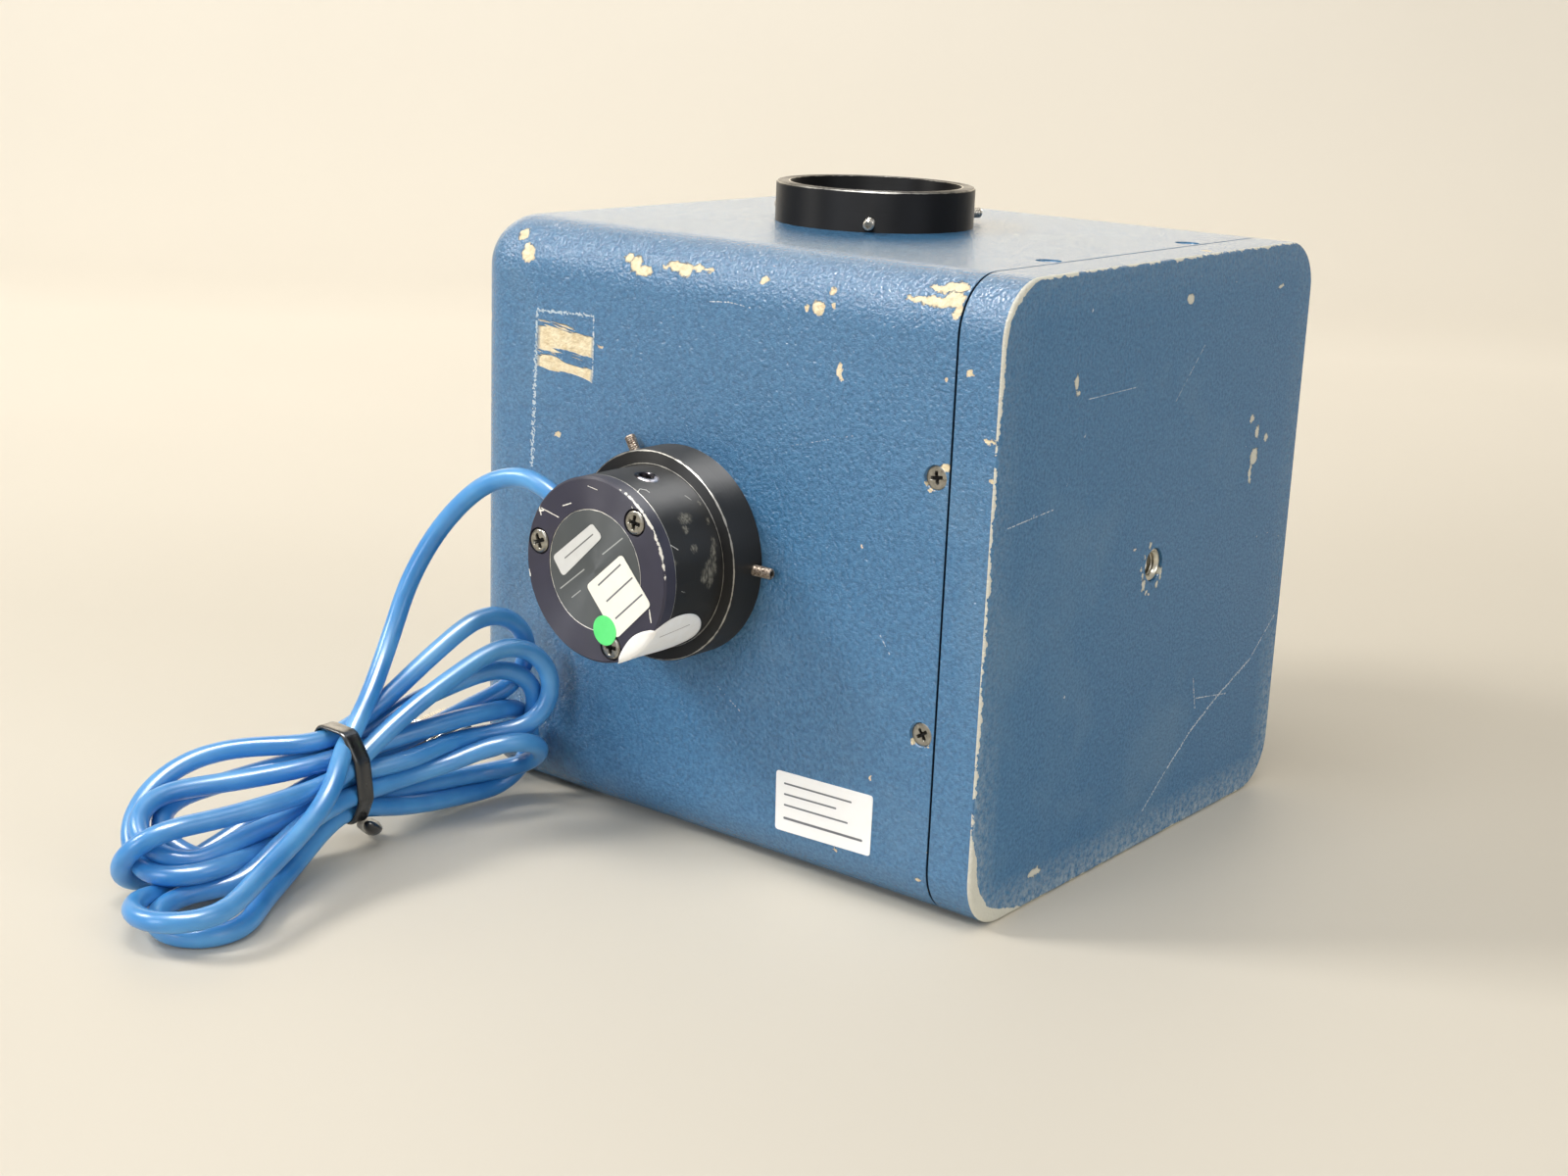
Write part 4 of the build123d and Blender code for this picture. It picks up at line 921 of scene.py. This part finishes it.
# Black-oxide steel with light rust in the roots: brown-grey, and polished on the crests by handling.
oxide, oxide_tree, oxide_shader, oxide_place = start_material("rusted_black_oxide_steel", Metallic=0.85)
oxide_noise = add_node(oxide_tree, "TexNoise", {
    "Vector": oxide_place, "Scale": 1 / (0.5 * MM), "Detail": 4.0})
feed(oxide_shader, {
    "Base Color": add_node(oxide_tree, "ValToRGB", [oxide_noise], [(0.32, "#5c4a3d"), (0.68, "#c4b7a8")]),
    "Roughness": add_node(oxide_tree, "MapRange", {0: oxide_noise, 3: 0.55, 4: 0.25})})

# Nickel-plated steel: pale grey and bright, with a little brown in the roots.
bright = mottled("tarnished_nickel_plated_steel", 0.6, "#8a8278", "#dcd8ce", 3.0, (0.38, 0.2), Metallic=1.0)

front_screw_middle = (head_x, front_y - 2.3, head_z)
top_screw_middle = (head_x, 0.0, 2 * middle_z + 2.3)
for name, middle, outward, length, material in (
        ("front_set_screw_right", front_screw_middle, (1.0, 0.0, 0.0), 8.2, oxide),
        ("front_set_screw_upper", front_screw_middle, (-0.5, 0.0, 0.866025), 7.6, oxide),
        ("front_set_screw_lower", front_screw_middle, (-0.5, 0.0, -0.866025), 8.2, oxide),
        ("top_set_screw_front", top_screw_middle, (0.551937, -0.833886, 0.0), 9.0, bright),
        ("top_set_screw_back", top_screw_middle, (0.446198, 0.894934, 0.0), 9.0, bright),
        ("top_set_screw_left", top_screw_middle, (-0.998135, -0.061049, 0.0), 8.6, bright)):
    screw = threaded_screw("threaded_" + name, middle, outward, length)
    wear(screw, material)
    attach(screw, name)
    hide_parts(name)


# ---------------------------------------------------------------- head barrel
# The photodiode head's barrel, turned from aluminium and anodised black. Old tape has left cream smears on
# it, and a bright burr stands round its post hole.
head_face = -99.55
barrel_radius = 21.2
smears = [
    ((9.0, -88.2, 84.8), (1.5, 2.0, 1.2)), ((10.4, -89.6, 83.0), (0.7, 0.9, 1.4)),
    ((12.3, -88.9, 78.6), (0.9, 1.1, 0.8)), ((12.8, -82.8, 76.4), (1.2, 0.9, 2.6)),
    ((13.3, -84.4, 73.4), (1.0, 2.0, 2.2)), ((13.4, -86.4, 72.2), (1.0, 1.2, 1.6)),
    ((13.5, -84.4, 70.2), (1.0, 1.0, 1.2)), ((12.6, -97.4, 77.9), (1.2, 0.7, 1.4)),
    ((12.9, -96.2, 76.6), (1.0, 1.3, 0.5)), ((12.5, -82.0, 79.4), (0.8, 0.6, 1.8)),
    ((10.6, -81.6, 83.6), (1.2, 0.6, 1.0)), ((7.6, -81.4, 87.0), (1.3, 0.6, 0.6)),
]
barrel_marks = [
    ((3.0, -97.6, 90.0), (1.6, -96.0, 90.7), 0.10), ((1.6, -96.0, 90.7), (0.9, -94.4, 91.1), 0.11),
    ((0.9, -94.4, 91.1), (1.6, -93.2, 90.7), 0.12), ((1.6, -93.2, 90.7), (2.4, -93.0, 90.3), 0.12),
    ((12.9, -92.0, 76.0), (13.4, -90.5, 72.0), 0.07), ((11.5, -96.0, 80.5), (12.1, -94.0, 79.2), 0.10),
    ((13.5, -94.0, 70.0), (13.4, -90.0, 68.4), 0.08), ((5.0, -84.0, 88.6), (7.0, -82.5, 87.2), 0.09),
]
barrel, barrel_tree, barrel_shader, barrel_place, barrel_tint = rubbed_rims(
    "turned_black_anodise_head", (head_x, head_face, head_z), (0.0, -1.0, 0.0),
    [(barrel_radius, -3.6, 0.09)], "#0e0e10", "#1d1d1c", "#a9a7a0", 0.3)[:5]
smear_place = ragged(barrel_tree, barrel_place, 1.1, 2.4, 4.0, 0.7)[0]
smeared = spot_reach(barrel_tree, smear_place, smears)
smeared = add_node(barrel_tree, "MapRange", [smeared, 0.6, 1.25, 0.75, 0.0])
smear_streaks = add_node(barrel_tree, "VectorMath", [barrel_place, (1.0, 1.0, 0.3)], operation="MULTIPLY")
smear_streaks = add_node(barrel_tree, "TexNoise", {
    "Vector": smear_streaks, "Scale": 1 / (0.45 * MM), "Detail": 3.0})
smear_gaps = add_node(barrel_tree, "MapRange", [smear_streaks, 0.4, 0.58, 0.15, 1.0])
smeared = add_node(barrel_tree, "Math", [smeared, smear_gaps], operation="MULTIPLY")
marked = add_node(barrel_tree, "Math", [
    line_reach(barrel_tree, barrel_place, barrel_marks), 1.0], operation="LESS_THAN")
for share, over in ((smeared, "#8d897c"), (marked, "#cfcdc5")):
    barrel_tint = add_node(barrel_tree, "Mix", {0: share, 6: barrel_tint, 7: over}, data_type="RGBA")
feed(barrel_shader, {"Base Color": barrel_tint})
wear(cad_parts["detector_barrel"], barrel)

# The burr: a thin raised lip that follows the barrel round the hole.
burr_angle = math.radians(77.0)
burr_y = -88.05
burr_out = Vector((math.cos(burr_angle), 0.0, math.sin(burr_angle)))
burr_side = Vector((-math.sin(burr_angle), 0.0, math.cos(burr_angle)))
burr_rings = []
for radius, rise in ((1.62, -0.7), (1.72, 0.0), (1.95, 0.24), (2.45, 0.2), (2.9, 0.05), (3.0, -0.2)):
    ring = []
    for turn in around(40):
        across = radius * math.cos(turn)
        reach = math.sqrt(barrel_radius**2 - across**2) + rise
        on_axis = Vector((head_x, burr_y + radius * math.sin(turn), head_z))
        ring.append(on_axis + burr_side * across + burr_out * reach)
    burr_rings.append(ring)
burr = skinned("post_hole_burr", burr_rings)

# Bare aluminium that the post has rubbed: bright in places, with dark anodising left in the lows.
rubbed_alloy, alloy_tree, alloy_shader, alloy_place = start_material("rubbed_aluminium", Metallic=1.0)
alloy_noise = add_node(alloy_tree, "TexNoise", {
    "Vector": alloy_place, "Scale": 1 / (1.6 * MM), "Detail": 4.0})
# The burr is painted lighter towards its right side and darker towards its left: painted light and shade.
burr_painted_light_side = add_node(alloy_tree, "SeparateXYZ", [alloy_place]).outputs[0]
burr_painted_light_side = add_node(alloy_tree, "MapRange", [burr_painted_light_side, -5.0 * MM, 0.0, -0.3, 0.25])
alloy_share = add_node(alloy_tree, "Math", [alloy_noise, burr_painted_light_side], operation="ADD")
feed(alloy_shader, {
    "Base Color": add_node(alloy_tree, "ValToRGB", [alloy_share], [(0.42, "#242225"), (0.6, "#d6cccd")]),
    "Roughness": add_node(alloy_tree, "MapRange", {0: alloy_noise, 3: 0.45, 4: 0.25})})
wear(burr, rubbed_alloy)
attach(burr, "detector")


# ---------------------------------------------------------------- head back plate
# A turned disc screwed to the barrel, anodised a warmer black that has gone grey. Its rim is bare metal in a
# thin line and painted near white at the upper right as a painted highlight; short scratches run over its
# face.
plate_marks = [((x, head_face, z), (end_x, head_face, end_z), half) for x, z, end_x, end_z, half in (
    (-25.1, 83.7, -24.4, 81.5, 0.16), (-24.3, 83.1, -18.9, 81.9, 0.12), (-17.6, 84.8, -15.1, 85.8, 0.12),
    (-24.9, 82.4, -23.6, 82.7, 0.2), (9.0, 66.0, 9.6, 63.2, 0.14), (-10.0, 90.6, -7.2, 90.2, 0.07),
    (-28.0, 68.0, -27.6, 66.6, 0.14), (-24.5, 58.0, -23.6, 57.2, 0.14), (-2.0, 51.6, -0.4, 52.0, 0.1),
    (3.2, 88.2, 4.4, 86.4, 0.08))]
plate, plate_tree, plate_shader, plate_place, plate_tint, plate_ring = rubbed_rims(
    "turned_grey_black_anodise", (head_x, head_face, head_z), (0.0, -1.0, 0.0),
    [(barrel_radius - 0.1, 0.0, 0.12)], "#2a2938", "#3b3a4b", "#c9c7c0", 0.3)
plate_noise = add_node(plate_tree, "TexNoise", {
    "Vector": plate_place, "Scale": 1 / (1.4 * MM), "Detail": 4.0})
marked = add_node(plate_tree, "Math", [
    line_reach(plate_tree, plate_place, plate_marks), plate_noise], operation="MULTIPLY")
marked = add_node(plate_tree, "Math", [marked, 0.5], operation="LESS_THAN")
# A band of the rim towards the upper right is painted near white: a painted highlight.
rim_from = add_node(plate_tree, "VectorMath", [
    plate_place, (head_x * MM, head_face * MM, head_z * MM)], operation="SUBTRACT")
highlight_way = (0.79 / (barrel_radius * MM), 0.0, 0.61 / (barrel_radius * MM))
rim_side = add_node(plate_tree, "VectorMath", [rim_from, highlight_way], operation="DOT_PRODUCT")
rim_jag = add_node(plate_tree, "MapRange", [rim_side, 0.55, 1.0, 0.0, 0.5 * MM])
for factor in (plate_noise, 2.0):
    rim_jag = add_node(plate_tree, "Math", [rim_jag, factor], operation="MULTIPLY")
rim_miss = add_node(plate_tree, "VectorMath", [
    plate_ring, (barrel_radius * MM, 0.0, 0.0)], operation="DISTANCE")
rim_painted_highlight = add_node(plate_tree, "Math", [rim_miss, rim_jag], operation="LESS_THAN")
marks_and_highlight = add_node(plate_tree, "Math", [marked, rim_painted_highlight], operation="MAXIMUM")
feed(plate_shader, {
    "Base Color": add_node(plate_tree, "Mix", {
        0: marks_and_highlight, 6: plate_tint, 7: "#e6e3da"}, data_type="RGBA")})
wear(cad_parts["detector_back_plate"], plate)


# ---------------------------------------------------------------- face label and stickers on the head
# A printed foil disc glued in the plate's recess, with a thin bright ring round it. A grey tag, a cream
# paper label, a green dot and a round white sticker folded over the rim have been added since; none has
# more than plain rules.
label_face = -99.45
label_rim = 13.9
tag_thickness = 0.12
paper_thickness = 0.13


def in_head(points, y):
    """Places on the head's face, given across and up from its axis."""
    return [(head_x + across, y, head_z + up) for across, up in points]


def rounded(corners, radius, steps=6):
    """A closed outline with its corners rounded."""
    outline = []
    for number, corner in enumerate(corners):
        corner = Vector(corner)
        to_back = (Vector(corners[number - 1]) - corner).normalized()
        to_ahead = (Vector(corners[(number + 1) % len(corners)]) - corner).normalized()
        cut = radius / math.tan(to_back.angle(to_ahead) / 2)
        start = corner + to_back * cut
        end = corner + to_ahead * cut
        for step in range(steps + 1):
            share = step / steps
            outline.append(start * (1 - share)**2 + corner * 2 * share * (1 - share) + end * share**2)
    return outline


def paper_piece(name, outline, thickness):
    """A flat sticker of that outline on a face that looks along -Y, with a real edge."""
    front = [Vector(place) - Vector((0.0, thickness, 0.0)) for place in outline]
    return skinned(name, [outline, front], ends=(0, -1), smooth=False)


def printed_rules(tree, place, lines):
    """How much of a plain printed rule covers a place; a line is its two ends and its half width."""
    return add_node(tree, "MapRange", [line_reach(tree, place, lines), 0.8, 1.2, 1.0, 0.0])


def paper_material(name, low, high, lines=(), ink=""):
    """Coated paper: a slight mottle and fibre bump, with any printed rules."""
    made, tree, shader, place = start_material(name, Roughness=0.55, IOR=1.5)
    mottle = add_node(tree, "TexNoise", {"Vector": place, "Scale": 1 / (3.0 * MM), "Detail": 5.0})
    tint = add_node(tree, "Mix", {0: mottle, 6: low, 7: high}, data_type="RGBA")
    if lines:
        rules = printed_rules(tree, place, lines)
        tint = add_node(tree, "Mix", {0: rules, 6: tint, 7: ink}, data_type="RGBA")
    fibre = add_node(tree, "TexNoise", {"Vector": place, "Scale": 1 / (0.7 * MM), "Detail": 3.0})
    feed(shader, {
        "Base Color": tint,
        "Normal": add_node(tree, "Bump", {"Height": fibre, "Distance": 0.02 * MM, "Strength": 0.6})})
    return made


# Printed aluminium foil: dark grey and satin, with a bright bare ring at its edge and three plain rules.
foil, foil_tree, foil_shader, foil_place, foil_tint = rubbed_rims(
    "printed_foil", (head_x, label_face, head_z), (0.0, -1.0, 0.0), [(label_rim, 0.0, 0.17)],
    "#444849", "#54585a", "#e2e0da", 1.5)[:5]
foil_print = printed_rules(foil_tree, foil_place, [
    (*in_head([(-10.4, -6.2), (-3.2, -0.4)], label_face), 0.14),
    (*in_head([(2.4, 4.2), (8.2, 8.9)], label_face), 0.14),
    (*in_head([(-6.8, -7.6), (-4.2, -5.5)], label_face), 0.12)])
feed(foil_shader, {
    "Base Color": add_node(foil_tree, "Mix", {0: foil_print, 6: foil_tint, 7: "#a5a7a4"}, data_type="RGBA")})
wear(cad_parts["face_label"], foil)

tag = paper_piece("grey_tag", rounded(in_head(
    [(-12.9, 0.85), (-9.6, -3.3), (2.3, 8.1), (-0.9, 10.7)], label_face), 1.1), tag_thickness)
wear(tag, paper_material("printed_grey_vinyl", "#cbcbc8", "#dadad7", [
    (*in_head([(-9.0, 1.2), (-0.6, 8.2)], label_face - tag_thickness), 0.16)], "#6b6b6b"))
paper_back = head_face - 0.06
paper_label = paper_piece("cream_paper_label", rounded(in_head(
    [(-2.2, -3.9), (7.3, -14.3), (17.3, -4.5), (8.3, 5.4)], paper_back), 1.2), paper_thickness)
wear(paper_label, paper_material("coated_cream_paper", "#f2efe2", "#fbf9ef", [
    (*in_head(ends, paper_back - paper_thickness), 0.2) for ends in (
        [(1.6, -3.0), (8.0, 2.9)], [(4.2, -6.2), (11.6, 0.6)], [(7.0, -9.6), (14.6, -2.6)])], "#6a6b70"))
dot_radius = 3.45
dot = paper_piece("green_dot", in_head(
    [(3.75 + dot_radius * math.cos(turn), -13.1 + dot_radius * math.sin(turn)) for turn in around(48)],
    head_face - 0.2), 0.1)
wear(dot, paper_material("fluorescent_green_paper", "#52e074", "#6bf08a"))

# The round sticker is folded over the rim: part of it lies on the face and the rest wraps the barrel.
sticker_angle = math.radians(-48.0)
sticker_back = 7.2
sticker_across, sticker_along = 10.2, 10.8
fold = 0.5
sticker_lift = 0.1
sticker_thickness = 0.1
sticker_rings = []
for ring_number in range(17):
    share = ring_number / 16
    ring = []
    for turn in around(72):
        back = sticker_back + sticker_along * share * math.sin(turn)
        angle = sticker_angle + sticker_across * share * math.cos(turn) / barrel_radius
        lift = sticker_lift * (1 + share**4 * (1 + math.sin(5 * turn + 1.0)))
        if back > fold:
            radius = barrel_radius + lift
            depth = head_face + back
        elif back > -fold:
            radius = barrel_radius + lift - 0.25 * (fold - back)
            depth = head_face - lift + 0.5 * (back + fold)
        else:
            radius = barrel_radius + back
            depth = head_face - lift
        ring.append((head_x + radius * math.cos(angle), depth, head_z + radius * math.sin(angle)))
    sticker_rings.append(ring)
sticker = skinned("folded_sticker", sticker_rings, weld=True)
sticker_edge = sticker.modifiers.new("paper", "SOLIDIFY")
sticker_edge.thickness = sticker_thickness * MM
sticker_edge.offset = 0.0
sticker_out = barrel_radius + sticker_lift
wear(sticker, paper_material("creased_white_paper", "#efebe3", "#ffffff", [
    (*[(head_x + sticker_out * math.cos(angle), head_face + back, head_z + sticker_out * math.sin(angle))
       for angle, back in ((-0.62, 3.0), (-0.55, 12.0))], 0.12)], "#8c7d78"))
for piece in (tag, paper_label, dot, sticker):
    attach(piece, "detector")


# ---------------------------------------------------------------- parts inside the head
# The sensing side: a glass window in the barrel's nose, the photodiode in its black holder, and the small
# board on brass spacers behind it.
wear(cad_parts["detector_window"], mottled(
    "polished_filter_glass", 4, "#aebfb9", "#bfcdc8", IOR=1.52, Transmission_Weight=0.6, Roughness=0.04))

# Silicon under a blue antireflection coating in a metal can: dark blue violet, glossy.
wear(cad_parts["photodiode"], mottled(
    "coated_silicon", 3, "#1d2140", "#2c3358", Metallic=0.3, Roughness=0.15, IOR=1.5))

# Machined acetal: black with a waxy gloss and faint tool marks.
wear(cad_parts["diode_holder"], mottled(
    "machined_black_acetal", 1.0, "#161616", "#242424", 3.0, (0.35, 0.55), IOR=1.48))

# Glass-epoxy board under green solder resist: the weave shows faintly through it, 0.5 mm apart.
resist, resist_tree, resist_shader, resist_place = start_material(
    "green_solder_resist", IOR=1.5, Roughness=0.3)
feed(resist_shader, {"Base Color": add_node(resist_tree, "TexChecker", {
    "Vector": resist_place, "Scale": 1 / (0.5 * MM), "Color1": "#1f6a41", "Color2": "#28784b"})})
wear(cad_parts["circuit_board"], resist)

# Turned brass: yellow, with dull brown patches.
wear(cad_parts["board_spacers"], mottled(
    "turned_brass", 1.2, "#a5813c", "#d6b567", 3.0, (0.4, 0.2), Metallic=1.0))


# ---------------------------------------------------------------- sticker on the housing
# A small white paper label with rounded corners, stuck low on the front face. Its print is left as plain
# rules.
front_label = paper_piece("front_paper_label", rounded(
    [(23.6, front_y, 25.1), (23.9, front_y, 10.7), (51.1, front_y, 11.4), (51.2, front_y, 25.8)], 0.9),
    paper_thickness)
print_y = front_y - paper_thickness
wear(front_label, paper_material("coated_white_paper", "#f9f8f5", "#ffffff", [
    ((x, print_y, z), (end_x, print_y, end_z), half) for x, z, end_x, end_z, half in (
        (26.2, 22.4, 45.2, 22.8, 0.22), (26.3, 19.8, 41.0, 20.2, 0.22), (26.4, 17.2, 44.4, 17.6, 0.22),
        (26.5, 14.0, 48.6, 14.5, 0.3))], "#6a6c72"))
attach(front_label, "housing")


# ---------------------------------------------------------------- table, backdrop and light
# A smooth cream table that runs up into a pale backdrop, and broad soft lamps above. These sizes are metres.
table_back = 0.9
table_bend = 0.35
table_turn = Matrix.Rotation(math.radians(38.0), 4, "Z")
table_line = [(-1.4, 0.0), (table_back, 0.0)]
for step in range(1, 13):
    turn = math.radians(90) * step / 12
    table_line.append((table_back + table_bend * math.sin(turn), table_bend * (1 - math.cos(turn))))
table_line.append((table_back + table_bend, 1.8))
table_build = bmesh.new()
table_rows = [[table_build.verts.new(table_turn @ Vector((side, across, up))) for side in (-2.6, 2.6)]
              for across, up in table_line]
for row, following in zip(table_rows[:-1], table_rows[1:]):
    table_build.faces.new((row[0], row[1], following[1], following[0]))
table = finished("table", table_build)

# Matt cream laminate, which glows a little towards the back, but only for the eye and in shine.
laminate, laminate_tree, laminate_shader, laminate_place = start_material(
    "matt_cream_laminate", Roughness=0.6, IOR=1.45, Emission_Color="#fff6e6")
laminate_noise = add_node(laminate_tree, "TexNoise", {"Vector": laminate_place, "Scale": 1 / (1000 / 3 * MM)})
laminate_run = add_node(laminate_tree, "VectorMath", [
    laminate_place, (-0.6157, 0.7880, 0.0)], operation="DOT_PRODUCT")
laminate_far = add_node(laminate_tree, "MapRange", [laminate_run, 0.12, 0.75, 0.0, 0.25])
path = add_node(laminate_tree, "LightPath").outputs
glow = path["Is Camera Ray"]
for other, operation in ((path["Is Glossy Ray"], "MAXIMUM"), (path["Is Transmission Ray"], "MAXIMUM"),
                         (laminate_far, "MULTIPLY")):
    glow = add_node(laminate_tree, "Math", [glow, other], operation=operation)
feed(laminate_shader, {
    "Base Color": add_node(laminate_tree, "Mix", {
        0: laminate_noise, 6: "#cfc8ba", 7: "#d7d0c3"}, data_type="RGBA"),
    "Emission Strength": glow})
wear(table, laminate)


def soft_lamp(name, place, aim, size, power, tint):
    """A rectangular softbox that looks at a point."""
    data = bpy.data.lights.new(name, "AREA")
    data.shape = "RECTANGLE"
    data.size, data.size_y = size
    data.energy = power
    data.color = colour(tint)[:3]
    made = bpy.data.objects.new(name, data)
    made.location = place
    made.rotation_euler = (Vector(aim) - Vector(place)).to_track_quat("-Z", "Y").to_euler()
    made.visible_camera = False
    bpy.context.scene.collection.objects.link(made)
    return made


soft_lamp("key", (-1.0, -0.82, 1.0), (0.0, 0.0, 0.06), (0.4, 0.4), 15.0, "#fffcf6")
soft_lamp("overhead", (0.05, -0.3, 1.25), (0.0, -0.1, 0.06), (0.7, 0.45), 4.0, "#fffaf0")
soft_lamp("front", (-0.2, -1.5, 0.55), (0.0, 0.0, 0.06), (0.5, 0.6), 6.5, "#f4f8ff")
soft_lamp("side", (1.15, -0.1, 0.55), (0.08, 0.0, 0.06), (0.6, 0.6), 3.2, "#f4f8ff")
# Two more give shine alone: a strip above for the turned metal and the lead, and a bright wall behind,
# which only the glossy top of the housing shows.
sheen = soft_lamp("sheen", (0.1, -0.35, 1.25), (0.0, -0.1, 0.06), (0.75, 0.3), 40.0, "#ffffff")
wall = soft_lamp("wall", (-0.71, 0.91, 0.5), (0.0, 0.0, 0.15), (1.5, 1.1), 8.0, "#fff0d8")
sheen.visible_diffuse = False
wall.visible_diffuse = False

world = bpy.data.worlds.new("studio")
bpy.context.scene.world = world
world.use_nodes = True
feed(world.node_tree.nodes["Background"], {"Color": "#f4f1ea", "Strength": 0.5})

bpy.context.scene.view_settings.view_transform = "Standard"
